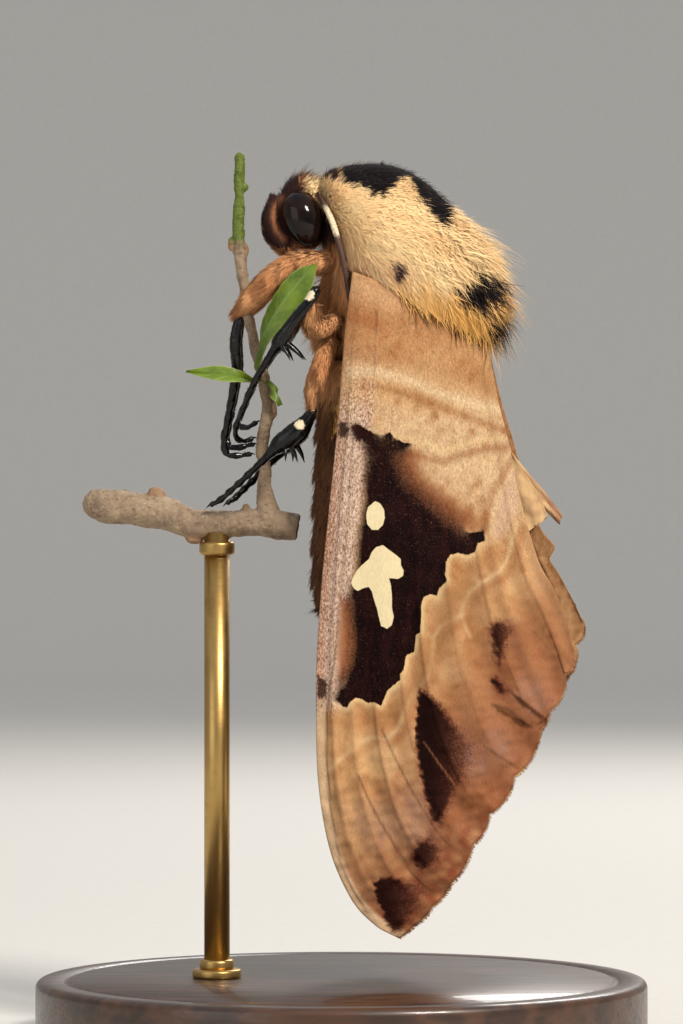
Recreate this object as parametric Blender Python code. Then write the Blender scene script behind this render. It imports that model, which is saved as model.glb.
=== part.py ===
"""Life-size arrow sphinx hawk moth that hangs head up from a cut twig, on a round display stand.

The moth's plane of symmetry is the XZ plane. Its back faces +X, its left side faces -Y, its head +Z.
The origin is the centre of the stand's underside. Sizes are written in millimetres, and each mesh
is scaled to metres when it is made.
"""

import math
import random

import bpy
import bmesh
import numpy as np
from mathutils import Vector

MM = 0.001
GAP = 0.3  # between touching nodes
SEED = 7

# Stand
BASE_RADIUS = 31.0
BASE_HEIGHT = 6.0
BASE_CHAMFER = 0.8
BASE_SIDES = 40
ROD_RADIUS = 1.3
ROD_X = -12.65
ROD_Y = 0.8
ROD_TOP = 52.0  # the branch is cut out of it with the gap

# Twig: a branch that lies along X, and a stem that rises from it
BRANCH_LINE = [(-24.6, 3.0, 54.0), (-19.2, 2.0, 53.4), (-15.2, 1.2, 52.2), (-12.6, 0.8, 52.1),
               (-9.1, 0.3, 52.2), (-6.4, 0.0, 52.0), (-4.4, 0.0, 51.7)]
BRANCH_RADII = [1.75, 1.7, 1.5, 1.38, 1.35, 1.5, 1.3]
STEM_LINE = [(-7.5, 0.0, 53.85), (-7.85, 0.0, 56.0), (-7.65, 0.0, 57.6), (-8.05, 0.0, 59.3),
             (-7.85, 0.0, 61.6), (-7.35, 0.0, 64.0), (-7.85, 0.0, 66.5), (-8.75, 0.0, 70.0),
             (-9.5, 0.0, 73.5), (-9.95, 0.0, 76.5), (-10.4, 0.0, 80.7), (-10.35, 0.0, 84.5),
             (-10.3, 0.0, 89.5)]
STEM_RADII = [1.15, 0.72, 0.62, 0.6, 0.62, 0.68, 0.6, 0.56, 0.55, 0.56, 0.68, 0.56, 0.55]
BUDS = {  # where a bud swells the twig: centre, then half sizes along X, Y and Z
    "branch": [((-18.9, 1.9, 55.0), (0.95, 0.8, 0.85)), ((-14.9, 1.1, 50.7), (1.0, 0.8, 0.75)),
               ((-9.7, 0.3, 53.7), (0.4, 0.4, 0.45))],
    "stem": [((-11.25, 0.0, 80.5), (0.32, 0.34, 0.75)), ((-9.65, 0.0, 79.9), (0.3, 0.34, 0.7)),
             ((-9.75, 0.0, 86.2), (0.38, 0.36, 0.5)), ((-6.95, 0.0, 63.5), (0.5, 0.45, 0.7))],
}

# Leaves: midrib line, half width at each point, and how far the edges fold towards the viewer
LEAVES = {
    "twig_leaf_upper": ([(-8.7, -1.15, 68.0), (-8.4, -2.8, 69.2), (-7.75, -4.9, 71.2), (-5.9, -5.95, 74.2),
                         (-4.0, -6.3, 76.6), (-2.6, -6.3, 78.2)], [0.3, 0.35, 0.95, 1.5, 1.35, 0.25]),
    "twig_leaf_left": ([(-8.8, -1.1, 66.5), (-9.3, -2.3, 66.5), (-10.3, -4.5, 66.8), (-12.6, -5.1, 67.1),
                        (-15.6, -5.4, 67.3)], [0.3, 0.32, 0.85, 1.05, 0.25]),
    "twig_leaf_right": ([(-7.4, -1.2, 66.2), (-6.9, -1.6, 65.6), (-6.45, -1.7, 64.9), (-6.1, -1.7, 64.1)],
                        [0.3, 0.5, 0.5, 0.2]),
}
LEAF_THICKNESS = 0.5
LEAF_FOLD = 0.35

# Body stations from the head end down: height Z, belly X, back X, half width along Y
THORAX_STATIONS = [(88.6, 2.2, 4.6, 0.9), (88.1, -0.2, 6.4, 2.9), (87.2, -2.0, 8.2, 4.4), (85.4, -2.7, 10.2, 5.9),
                   (82.0, -2.0, 12.7, 7.1), (79.0, -1.6, 14.6, 7.6), (76.0, -2.2, 15.5, 7.5),
                   (73.0, -2.6, 15.8, 6.8), (71.0, -2.6, 14.6, 6.0), (69.4, -2.0, 12.0, 4.9)]
ABDOMEN_STATIONS = [(69.0, -1.9, 11.0, 4.9), (67.6, -2.35, 10.7, 5.3), (62.5, -2.5, 9.6, 4.8),
                    (55.0, -2.75, 6.6, 4.1), (49.0, -2.9, 3.6, 3.2), (45.6, -2.85, 1.4, 2.2),
                    (43.4, -2.3, -0.2, 0.9)]
SEGMENT_COUNT = 7
SEGMENT_STEP = 0.22

# Coat of the thorax: flat tapered locks that rise from a smaller core to the stations above
COAT_DEPTH = 1.7
CORE_SHARE = 0.5
LOCK_HEIGHTS = [87.4, 85.6, 83.3, 80.6, 77.9, 75.2, 72.6]
LOCK_SPACING = 3.5
LOCK_SWEEP = math.radians(150)  # either side of the middle of the back
LOCK_LENGTH = 3.8
LOCK_WIDTH = 3.0
LOCK_THICKNESS = 0.8
LOCK_ROOT = 0.6  # below the core
LOCK_FRONT = -1.9  # none is rooted nearer the head than this X

# Head
HEAD_CENTRE = (-4.0, 0.0, 83.3)
HEAD_RADII = (2.7, 3.0, 3.4)
EYE_CENTRE = (-3.9, -2.5, 82.9)
EYE_RADII = (1.9, 1.8, 2.8)
EYE_TILT = math.radians(20)
PALP_LINE = [(-3.8, -1.2, 80.2), (-5.5, -1.35, 80.0), (-6.8, -1.3, 81.4), (-7.2, -1.15, 83.0),
             (-7.0, -1.0, 84.8)]
PALP_RADII = [0.8, 1.0, 1.1, 0.95, 0.5]
ANTENNA_LINE = [(-2.3, -1.9, 85.5), (-1.6, -3.5, 84.0), (-0.9, -4.6, 82.4), (-0.3, -5.2, 80.4),
                (0.3, -5.2, 78.0), (0.8, -4.85, 75.0), (1.2, -5.4, 72.2), (1.45, -5.95, 70.2),
                (1.5, -6.1, 69.4)]
ANTENNA_RADII = [0.4, 0.42, 0.42, 0.42, 0.42, 0.38, 0.34, 0.28, 0.22]

# Roof that the closed wings form: their middle surface lies this far from the plane of symmetry
RIDGE_X = [(4.0, 22.0), (30.0, 23.4), (39.0, 23.4), (41.9, 22.9), (45.4, 21.6), (51.0, 19.1),
           (60.5, 16.9), (64.5, 15.9), (71.0, 14.4), (79.0, 13.0)]
COSTAL_X = [(4.0, -1.0), (14.5, -1.9), (26.5, -2.4), (34.5, -2.55), (39.5, -2.45), (46.5, -1.95),
            (54.5, -1.15), (62.5, -0.35), (71.5, 0.35), (79.0, 0.9)]
ROOF_DEPTH = [(4.0, 7.0), (12.0, 7.4), (20.0, 8.3), (35.0, 9.2), (50.0, 9.6), (62.0, 9.1), (68.0, 8.2),
              (72.0, 7.2), (79.0, 6.2)]
RIDGE_DEPTH = 1.9
ROOF_POWER = 0.85
COSTAL_ROLL = 0.9
ROLL_START = 0.88
HINDWING_INSET = 1.25

# Wing outlines as X, Z points, from the root
COSTA = [(1.1, 77.4), (0.35, 71.5), (-0.35, 62.5), (-1.15, 54.5), (-1.95, 46.5), (-2.45, 39.5),
         (-2.55, 34.5), (-2.35, 26.5), (-1.15, 19.5), (1.05, 14.5), (3.35, 12.0), (5.65, 10.7)]
MARGIN = [(5.65, 10.7), (7.4, 12.1), (9.1, 13.9), (10.8, 16.0), (12.5, 19.0), (14.2, 22.3),
          (16.8, 26.2), (19.2, 30.3), (21.2, 34.2), (22.5, 37.2), (23.2, 39.4)]
INNER = [(14.0, 72.6), (15.0, 68.9), (15.85, 64.5), (16.85, 60.5), (17.85, 55.5), (19.05, 51.0),
         (20.1, 47.9), (21.5, 45.4), (22.7, 42.2), (23.2, 39.4)]
FAR_MARGIN_END = [(21.6, 35.0), (23.3, 38.6), (24.3, 42.6)]
FAR_INNER = [(14.0, 72.6), (15.2, 68.9), (16.3, 64.5), (17.5, 60.5), (18.9, 55.5), (20.3, 51.6),
             (21.7, 49.8), (21.2, 48.6), (22.2, 46.9), (23.3, 44.8), (24.3, 42.6)]
VEIN_ENDS = [0.0, 0.06, 0.134, 0.227, 0.353, 0.457, 0.588, 0.745, 0.81, 0.926, 1.0]
VEIN_STARTS = [0.0, 0.1, 0.62, 0.55, 0.5, 0.48, 0.45, 0.38, 0.33, 0.06, 0.0]
LOBES = [0.1, 0.15, 0.2, 0.35, 0.55, 0.6, 0.75, 0.35, 0.7, 0.7]
PLEATS = [0.0, 0.08, -0.1, 0.14, -0.16, 0.18, -0.2, 0.3, -0.22, 0.12]
HIND_COSTA = [(3.8, 70.8), (1.7, 62.0), (0.9, 52.0), (1.5, 44.0), (4.2, 37.6)]
HIND_MARGIN = [(4.2, 37.6), (9.0, 37.2), (13.6, 41.2), (17.2, 46.6), (19.6, 51.0)]
HIND_INNER = [(11.6, 70.2), (14.4, 67.0), (16.2, 62.6), (17.6, 58.4), (19.2, 54.6), (19.6, 51.0)]
HIND_VEIN_ENDS = [0.0, 0.2, 0.42, 0.62, 0.82, 1.0]
HIND_VEIN_STARTS = [0.0, 0.4, 0.4, 0.35, 0.2, 0.0]
HIND_LOBES = [0.5, 0.6, 0.6, 0.5, 0.2]
ANAL_FOLDS = {  # the hindwing's rolled inner edge that stands out over the back
    "left": ([(17.2, 59.2), (18.7, 55.8), (20.1, 53.8), (21.2, 52.4)], [0.3, 0.5, 0.5, 0.28], -0.7),
    "right": ([(17.2, 60.4), (18.9, 57.0), (20.9, 54.2), (22.6, 52.7)], [0.3, 0.55, 0.6, 0.4], 0.75),
}
WING_THICKNESS = 0.6
MARGIN_THICKNESS = 0.36
COSTA_THICKNESS = 0.95
VEIN_HEIGHT = 0.13
VEIN_FOOT = 0.13
WING_ROWS = 12
HIND_ROWS = 7

# Left legs: the furred upper part from the body to the knee, then the black shank to the claws
LEGS = {
    "fore": {
        "femur": ([(-1.2, -2.6, 78.6), (-4.2, -3.4, 78.5), (-6.8, -4.0, 77.0), (-9.0, -4.3, 74.8),
                   (-10.1, -4.3, 73.7)], [1.1, 1.25, 1.3, 1.2, 0.85]),
        "shank": ([(-10.3, -4.25, 72.95), (-10.7, -3.9, 70.4), (-10.6, -3.3, 67.8), (-11.1, -2.3, 64.5),
                   (-11.6, -1.5, 62.0), (-11.9, -0.95, 60.3), (-11.6, -0.75, 59.2), (-10.6, -0.65, 59.0),
                   (-9.4, -0.6, 59.15)], [0.45, 0.58, 0.5, 0.42, 0.4, 0.38, 0.34, 0.3, 0.26]),
        "spurs": [],
        "shift": (0.3, 0.5, 1.0),
    },
    "mid": {
        "femur": ([(-0.4, -4.1, 72.6), (-1.9, -5.8, 71.9), (-3.0, -6.7, 72.5), (-2.7, -7.3, 73.8)],
                  [0.95, 1.2, 1.2, 0.75]),
        "shank": ([(-2.6, -8.1, 75.35), (-3.3, -8.5, 74.2), (-4.6, -8.6, 72.5), (-6.1, -8.0, 70.4),
                   (-7.0, -7.4, 69.1), (-8.9, -5.8, 66.0), (-10.1, -3.9, 63.2), (-10.7, -2.6, 61.6),
                   (-10.5, -1.7, 60.7), (-9.8, -1.1, 60.5), (-9.2, -0.8, 60.7)],
                  [0.55, 0.5, 0.62, 0.75, 0.4, 0.33, 0.3, 0.29, 0.28, 0.27, 0.26]),
        "spurs": [((-5.6, -8.0, 70.2), (-3.8, -8.3, 68.5), 0.32), ((-6.0, -8.2, 69.9), (-5.1, -8.7, 68.4), 0.26)],
        "shift": (0.4, -0.3, 1.6),
    },
    "hind": {
        "femur": ([(-1.0, -3.2, 70.6), (-1.9, -4.8, 68.3), (-2.7, -5.8, 66.0), (-2.95, -6.2, 64.3)],
                  [1.0, 1.1, 1.0, 0.7]),
        "shank": ([(-2.95, -6.3, 63.4), (-3.7, -6.3, 62.4), (-4.7, -6.2, 61.3), (-6.2, -5.7, 60.1),
                   (-7.3, -5.1, 59.0), (-9.0, -3.9, 57.4), (-11.0, -2.4, 55.6), (-12.3, -1.3, 54.5),
                   (-13.1, -0.9, 54.1)], [0.5, 0.6, 0.95, 0.9, 0.45, 0.36, 0.32, 0.3, 0.26]),
        "spurs": [((-5.1, -5.9, 59.9), (-4.4, -6.1, 58.3), 0.3), ((-5.7, -6.0, 59.8), (-5.6, -6.6, 58.4), 0.25)],
        "shift": (1.6, 0.4, 0.2),
    },
}
CLAW_LENGTH = 0.75
CLAW_RADIUS = 0.16

FINISHES = {  # base colour, roughness, metallic
    "thorax_fur": ((0.80, 0.56, 0.30), 0.9, 0.0),
    "body_fur": ((0.40, 0.19, 0.08), 0.9, 0.0),
    "head_fur": ((0.06, 0.03, 0.03), 0.85, 0.0),
    "eye": ((0.008, 0.008, 0.01), 0.08, 0.0),
    "antenna": ((0.75, 0.62, 0.42), 0.7, 0.0),
    "wing_scales": ((0.55, 0.31, 0.14), 0.75, 0.0),
    "leg_black": ((0.012, 0.012, 0.015), 0.35, 0.0),
    "bark": ((0.38, 0.29, 0.20), 0.8, 0.0),
    "green_stem": ((0.20, 0.30, 0.06), 0.6, 0.0),
    "leaf": ((0.16, 0.35, 0.03), 0.45, 0.0),
    "stand_wood": ((0.05, 0.03, 0.02), 0.4, 0.0),
    "stand_metal": ((0.45, 0.36, 0.22), 0.3, 1.0),
}


def finish(slot):
    """Returns the material of a finish, made on first use."""
    made = bpy.data.materials.get(slot)
    if made:
        return made
    colour, roughness, metallic = FINISHES[slot]
    made = bpy.data.materials.new(slot)
    made.use_nodes = True
    shader = made.node_tree.nodes["Principled BSDF"]
    shader.inputs["Base Color"].default_value = (*colour, 1.0)
    shader.inputs["Roughness"].default_value = roughness
    shader.inputs["Metallic"].default_value = metallic
    return made


def smooth(points, count):
    """Returns count rows, evenly spaced along a smooth curve through the given points."""
    given = np.array(points, float)
    padded = np.vstack([2 * given[0] - given[1], given, 2 * given[-1] - given[-2]])
    dense = []
    for i in range(1, len(padded) - 2):
        before, start, end, after = padded[i - 1:i + 3]
        for t in np.linspace(0.0, 1.0, 12, endpoint=False):
            dense.append(0.5 * (2 * start + (end - before) * t
                                + (2 * before - 5 * start + 4 * end - after) * t ** 2
                                + (3 * start - before - 3 * end + after) * t ** 3))
    dense = np.array(dense + [given[-1]])
    run = np.concatenate([[0.0], np.cumsum(np.linalg.norm(np.diff(dense, axis=0), axis=1))])
    wanted = np.linspace(0.0, run[-1], count)
    return np.column_stack([np.interp(wanted, run, column) for column in dense.T])


def new_object(name, vertices, faces, slot, shaded_smooth=True):
    """Makes a closed mesh object from points in millimetres, with its faces pointing out."""
    mesh = bpy.data.meshes.new(name)
    mesh.from_pydata([tuple(np.array(v) * MM) for v in vertices], [], faces)
    work = bmesh.new()
    work.from_mesh(mesh)
    bmesh.ops.recalc_face_normals(work, faces=work.faces)
    if work.calc_volume(signed=True) < 0:
        bmesh.ops.reverse_faces(work, faces=work.faces)
    work.to_mesh(mesh)
    work.free()
    if shaded_smooth:
        mesh.shade_smooth()
        mesh.set_sharp_from_angle(angle=math.radians(40))
    mesh.materials.append(finish(slot))
    made = bpy.data.objects.new(name, mesh)
    bpy.context.collection.objects.link(made)
    return made


def ring_solid(name, rings, slot):
    """Joins rings of equal point count into a closed tube, each end a fan round its centre."""
    count = len(rings[0])
    vertices = [point for ring in rings for point in ring]
    faces = []
    for i in range(len(rings) - 1):
        for j in range(count):
            a, b = i * count + j, i * count + (j + 1) % count
            faces.append((a, b, b + count, a + count))
    for start, ring in ((0, rings[0]), ((len(rings) - 1) * count, rings[-1])):
        centre = len(vertices)
        vertices.append(np.mean(ring, axis=0))
        faces += [(start + j, start + (j + 1) % count, centre) for j in range(count)]
    return new_object(name, vertices, faces, slot)


def body_loft(name, stations, rings, sides, slot, grow=0.0, steps=0):
    """Lofts level ovals through body stations, with a shallow step behind each segment."""
    rows = smooth(stations, rings)
    built = []
    for i, (z, belly, back, half_width) in enumerate(rows):
        share = i / (rings - 1)
        swell = SEGMENT_STEP * ((share * steps) % 1.0 - 0.5) if steps else 0.0
        depth = (back - belly) / 2 + grow + swell
        width = half_width + grow + swell
        end = {0: grow, rings - 1: -grow}.get(i, 0.0)
        angles = 2 * math.pi * np.arange(sides) / sides
        built.append([((belly + back) / 2 + depth * math.cos(a), width * math.sin(a), z + end)
                      for a in angles])
    return ring_solid(name, built, slot)


def egg(name, centre, radii, slot, rings=8, sides=14, grow=0.0, tilt=0.0):
    """A closed ellipsoid whose poles are tilted from the vertical about Y."""
    centre = Vector(centre)
    half = [radius + grow for radius in radii]

    def place(x, y, z):
        return centre + Vector((x * math.cos(tilt) - z * math.sin(tilt), y,
                                x * math.sin(tilt) + z * math.cos(tilt)))

    built = [[tuple(place(half[0] * math.sin(polar) * math.cos(a), half[1] * math.sin(polar) * math.sin(a),
                          half[2] * math.cos(polar)))
              for a in 2 * math.pi * np.arange(sides) / sides]
             for polar in math.pi * np.arange(1, rings) / rings]
    solid = ring_solid(name, built, slot)
    for vertex, end in zip(solid.data.vertices[-2:], (half[2], -half[2])):
        vertex.co = place(0.0, 0.0, end) * MM
    return solid


def tube(name, line, radii, slot, count=12, sides=8, grow=0.0):
    """A closed round limb along a smooth line, its radius running through the given ones."""
    rows = smooth([(*point, radius) for point, radius in zip(line, radii)], count)
    centres, widths = rows[:, :3], rows[:, 3] + grow
    side = Vector((0.0, 1.0, 0.0))
    built = []
    for i, centre in enumerate(centres):
        along = Vector(centres[min(i + 1, count - 1)] - centres[max(i - 1, 0)]).normalized()
        side = (side - along * side.dot(along)).normalized()
        other = along.cross(side)
        end = {0: -grow, count - 1: grow}.get(i, 0.0)
        middle = Vector(centre) + along * end
        built.append([tuple(middle + (side * math.cos(a) + other * math.sin(a)) * widths[i])
                      for a in 2 * math.pi * np.arange(sides) / sides])
    return ring_solid(name, built, slot)


def cone(name, root, tip, radius, slot, sides=5):
    """A spur or claw: a thin closed spike from root to tip."""
    root, tip = Vector(root), Vector(tip)
    along = (tip - root).normalized()
    side = along.orthogonal().normalized()
    other = along.cross(side)
    rings = [[tuple(root + (tip - root) * share + (side * math.cos(a) + other * math.sin(a)) * width)
              for a in 2 * math.pi * np.arange(sides) / sides]
             for share, width in ((0.0, radius), (0.6, radius * 0.75), (1.0, radius * 0.2))]
    return ring_solid(name, rings, slot)


def applied(obj):
    """Bakes an object's modifiers into its mesh."""
    graph = bpy.context.evaluated_depsgraph_get()
    mesh = bpy.data.meshes.new_from_object(obj.evaluated_get(graph))
    obj.modifiers.clear()
    obj.data = mesh
    return obj


def keep_largest(obj):
    """Keeps the closed surface of greatest volume and drops the loose scraps of a cut."""
    work = bmesh.new()
    work.from_mesh(obj.data)
    unseen = set(work.verts)
    islands = []
    while unseen:
        island, edge = set(), [unseen.pop()]
        while edge:
            vertex = edge.pop()
            island.add(vertex)
            for link in vertex.link_edges:
                other = link.other_vert(vertex)
                if other in unseen:
                    unseen.discard(other)
                    edge.append(other)
        islands.append(island)

    def size(island):
        faces = {face for vertex in island for face in vertex.link_faces}
        return abs(sum(face.calc_center_median().dot(face.normal) * face.calc_area() for face in faces))

    kept = max(islands, key=size)
    bmesh.ops.delete(work, geom=[v for v in work.verts if v not in kept], context="VERTS")
    work.to_mesh(obj.data)
    work.free()
    return obj


def combine(obj, others, operation, one_piece=True):
    """Unites the object with others, or cuts them from it, and removes them."""
    group = bpy.data.collections.new(obj.name + "_others")
    bpy.context.scene.collection.children.link(group)
    for other in others:
        bpy.context.collection.objects.unlink(other)
        group.objects.link(other)
    modifier = obj.modifiers.new("Join", "BOOLEAN")
    modifier.operand_type = "COLLECTION"
    modifier.collection = group
    modifier.operation = operation
    modifier.solver = "EXACT"
    applied(obj)
    for other in others:
        bpy.data.objects.remove(other)
    bpy.data.collections.remove(group)
    return keep_largest(obj) if one_piece else obj


def mirrored(name, obj):
    """A copy of a left piece on the right side."""
    mesh = obj.data.copy()
    mesh.name = name
    for vertex in mesh.vertices:
        vertex.co.y = -vertex.co.y
    mesh.flip_normals()
    made = bpy.data.objects.new(name, mesh)
    bpy.context.collection.objects.link(made)
    return made


def roof(x, z):
    """How far the closed forewing's middle surface lies from the plane of symmetry."""
    ridge = np.interp(z, *np.array(RIDGE_X).T)
    costal = np.interp(z, *np.array(COSTAL_X).T)
    depth = np.interp(z, *np.array(ROOF_DEPTH).T)
    share = np.clip((ridge - x) / (ridge - costal), 0.0, 1.05)
    rise = np.sin(np.minimum(share ** ROOF_POWER, 1.0) * math.pi / 2)
    roll = COSTAL_ROLL * (np.maximum(share - ROLL_START, 0.0) / (1 - ROLL_START)) ** 2
    return RIDGE_DEPTH + (depth - RIDGE_DEPTH) * rise - roll


def patch(costa, margin, inner, along, across, grow):
    """Fills a wing outline with lines that fan from root to margin. Returns X and Z grids."""
    fine = 200
    even = np.linspace(0.0, 1.0, fine)

    def curve(points, at):
        run = smooth(points, fine)
        return np.column_stack([np.interp(at, even, run[:, k]) for k in (0, 1)])

    front, back = curve(costa, along), curve(inner, along)
    root, edge = curve([costa[0], inner[0]], across), curve(margin, across)
    u, v = np.meshgrid(along, across, indexing="ij")
    grid = np.zeros((len(along), len(across), 2))
    for k in (0, 1):
        sides = (1 - v) * front[:, None, k] + v * back[:, None, k]
        ends = (1 - u) * root[None, :, k] + u * edge[None, :, k]
        corners = ((1 - u) * (1 - v) * front[0, k] + u * (1 - v) * front[-1, k]
                   + (1 - u) * v * back[0, k] + u * v * back[-1, k])
        grid[:, :, k] = sides + ends - corners
    if grow:
        for rim, inside in (((0, slice(None)), (1, slice(None))), ((-1, slice(None)), (-2, slice(None))),
                            ((slice(None), 0), (slice(None), 1)), ((slice(None), -1), (slice(None), -2))):
            out = grid[rim] - grid[inside]
            out /= np.linalg.norm(out, axis=-1, keepdims=True)
            grid[rim] += out * grow
    return grid


def wing(name, outline, veins, side, inset=0.0, rows=WING_ROWS, grow=0.0):
    """A closed wing blade over the roof, with raised veins, pleats and a lobed outer margin."""
    costa, margin, inner = outline
    ends, starts, lobes, pleats = veins
    across, height, bulge, fold = [], [], [], []
    for i, (left, right) in enumerate(zip(ends[:-1], ends[1:])):
        for share in (0.0, VEIN_FOOT, 0.5, 1 - VEIN_FOOT):
            across.append(left + (right - left) * share)
            height.append(starts[i] if share == 0.0 else 1.0)
            bulge.append(lobes[i] * math.sin(math.pi * share) ** 0.6 if share else 0.0)
            fold.append(pleats[i] * math.sin(math.pi * share))
    across.append(1.0)
    height.append(starts[-1])
    bulge.append(0.0)
    fold.append(0.0)
    across, height = np.array(across), np.array(height)
    along = np.linspace(0.0, 1.0, rows) ** 0.9
    grid = patch(costa, margin, inner, along, across, grow)
    tangent = np.gradient(grid[-1], axis=0)
    outward = np.column_stack([tangent[:, 1], -tangent[:, 0]])
    outward /= np.linalg.norm(outward, axis=1, keepdims=True)
    reach = np.clip((along - 0.7) / 0.3, 0.0, 1.0) ** 2
    grid += (reach[:, None, None] * np.array(bulge)[None, :, None]) * outward[None]
    x, z = grid[:, :, 0], grid[:, :, 1]
    u = along[:, None]
    middle = roof(x, z) - inset + np.array(fold)[None, :] * np.clip(u - 0.25, 0.0, 1.0) * 1.3
    taper = WING_THICKNESS + (MARGIN_THICKNESS - WING_THICKNESS) * np.clip((u - 0.9) / 0.1, 0.0, 1.0)
    costal = (COSTA_THICKNESS - WING_THICKNESS) * np.clip(1 - across[None, :] / 0.05, 0.0, 1.0)
    ridge = VEIN_HEIGHT * np.clip((u - height[None, :]) * 8, 0.0, 1.0) * (1 - u ** 12)
    half = (taper + costal * (1 - 0.6 * u)) / 2 + ridge + grow
    return blade(name, x, z, side * (middle + half), side * (middle - half), "wing_scales")


def blade(name, x, z, outer, inner, slot):
    """A closed thin solid between two surfaces over one grid, split alike on both faces."""
    rows, columns = x.shape
    vertices = [(x[i, j], y[i, j], z[i, j]) for y in (outer, inner) for i in range(rows) for j in range(columns)]
    under = rows * columns
    faces = []
    for i in range(rows - 1):
        for j in range(columns - 1):
            a = i * columns + j
            b, c, d = a + 1, a + columns + 1, a + columns
            for face in ((a, b, c), (a, c, d)):
                faces.append(face)
                faces.append(tuple(under + k for k in reversed(face)))
    rim = [j for j in range(columns)]
    rim += [i * columns + columns - 1 for i in range(1, rows)]
    rim += [(rows - 1) * columns + j for j in range(columns - 2, -1, -1)]
    rim += [i * columns for i in range(rows - 2, 0, -1)]
    for a, b in zip(rim, rim[1:] + rim[:1]):
        faces += [(a, b, under + b), (a, under + b, under + a)]
    return new_object(name, vertices, faces, slot)


def leaf(name, line, half_widths):
    """A small pointed leaf blade folded along its midrib."""
    rows = smooth([(*point, width) for point, width in zip(line, half_widths)], 7)
    shares = np.array([-1.0, -0.5, 0.0, 0.5, 1.0])
    across = Vector((0.35, -0.25, -0.9)).normalized()
    rings = []
    for i, row in enumerate(rows):
        along = Vector(rows[min(i + 1, 6), :3] - rows[max(i - 1, 0), :3]).normalized()
        side = (across - along * across.dot(along)).normalized()
        face = along.cross(side).normalized()
        ring = []
        for layer, order in ((0.5, shares), (-0.5, shares[::-1])):
            for s in order:
                lift = LEAF_FOLD * abs(s) + layer * LEAF_THICKNESS
                ring.append(tuple(Vector(row[:3]) + side * (s * row[3]) + face * lift))
        rings.append(ring)
    return ring_solid(name, rings, "leaf")


def stand():
    """The round base and the rod that carries the branch."""
    profile = [(BASE_RADIUS - BASE_CHAMFER, 0.0), (BASE_RADIUS, BASE_CHAMFER),
               (BASE_RADIUS, BASE_HEIGHT - BASE_CHAMFER), (BASE_RADIUS - BASE_CHAMFER, BASE_HEIGHT)]
    angles = 2 * math.pi * np.arange(BASE_SIDES) / BASE_SIDES
    ring_solid("stand_base", [[(r * math.cos(a), r * math.sin(a), z) for a in angles] for r, z in profile],
               "stand_wood")
    rod = tube("stand_rod", [(ROD_X, ROD_Y, BASE_HEIGHT + GAP), (ROD_X, ROD_Y, ROD_TOP)],
               [ROD_RADIUS, ROD_RADIUS], "stand_metal", count=2, sides=16)
    combine(rod, [branch_solid("clear_branch", GAP)], "DIFFERENCE")


def branch_solid(name, grow=0.0):
    return tube(name, BRANCH_LINE, BRANCH_RADII, "bark", count=14, sides=12, grow=grow)


def stem_solid(name, grow=0.0):
    return tube(name, STEM_LINE, STEM_RADII, "green_stem", count=20, sides=7, grow=grow)


def twig():
    """The cut branch, the stem that rises from it, their buds and the stem's small leaves."""
    branch, stem = branch_solid("twig_branch"), stem_solid("twig_stem")
    for part, where in ((branch, "branch"), (stem, "stem")):
        slot = part.data.materials[0].name
        buds = [egg(f"bud_{where}_{i}", centre, radii, slot, rings=5, sides=7)
                for i, (centre, radii) in enumerate(BUDS[where])]
        combine(part, buds, "UNION")
    combine(stem, [branch_solid("clear_branch", GAP)], "DIFFERENCE")
    for name, (line, widths) in LEAVES.items():
        combine(leaf(name, line, widths), [stem_solid("clear_stem", GAP)], "DIFFERENCE")


def thorax_core(name, grow=0.0):
    """The thorax under its coat."""
    return body_loft(name, THORAX_STATIONS, 12, 20, "thorax_fur", grow=grow - COAT_DEPTH * (1 - CORE_SHARE))


def thorax_surface(z, angle, grow):
    """A point on the thorax at a height, with the angle counted from the middle of the back."""
    rows = smooth(THORAX_STATIONS, 60)[::-1]
    belly, back, half_width = (float(np.interp(z, rows[:, 0], rows[:, k])) for k in (1, 2, 3))
    return Vector(((belly + back) / 2 + ((back - belly) / 2 + grow) * math.cos(angle),
                   (half_width + grow) * math.sin(angle), z))


def lock(name, z, angle, draw):
    """One flat tapered lock that leaves the core and bends over along the lie of the coat."""
    inset = COAT_DEPTH * (1 - CORE_SHARE)
    foot = thorax_surface(z, angle, -inset)
    level = thorax_surface(z, angle + 0.05, -inset) - foot
    upward = thorax_surface(z + 0.3, angle, -inset) - foot
    normal = level.cross(upward).normalized()
    lie = foot - Vector(HEAD_CENTRE)
    lie = (lie - normal * lie.dot(normal)).normalized()
    side = normal.cross(lie)
    aim = (lie + side * draw.uniform(-0.22, 0.22)).normalized()
    length = LOCK_LENGTH * draw.uniform(0.85, 1.15)
    rise = (COAT_DEPTH * CORE_SHARE) * draw.uniform(0.95, 1.2)
    rings = []
    for t, width, thick in ((0.0, 0.75, 0.8), (0.4, 1.0, 1.0), (0.75, 0.62, 0.7), (1.0, 0.1, 0.3)):
        lift = -LOCK_ROOT + (rise + LOCK_ROOT) * math.sin(t * math.pi / 2)
        middle = foot + aim * (length * t) + normal * lift
        half_width, crest = side * (LOCK_WIDTH * width / 2), normal * (LOCK_THICKNESS * thick)
        rings.append([tuple(middle + corner) for corner in (half_width, crest, -half_width)])
    return ring_solid(name, rings, "thorax_fur")


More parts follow.
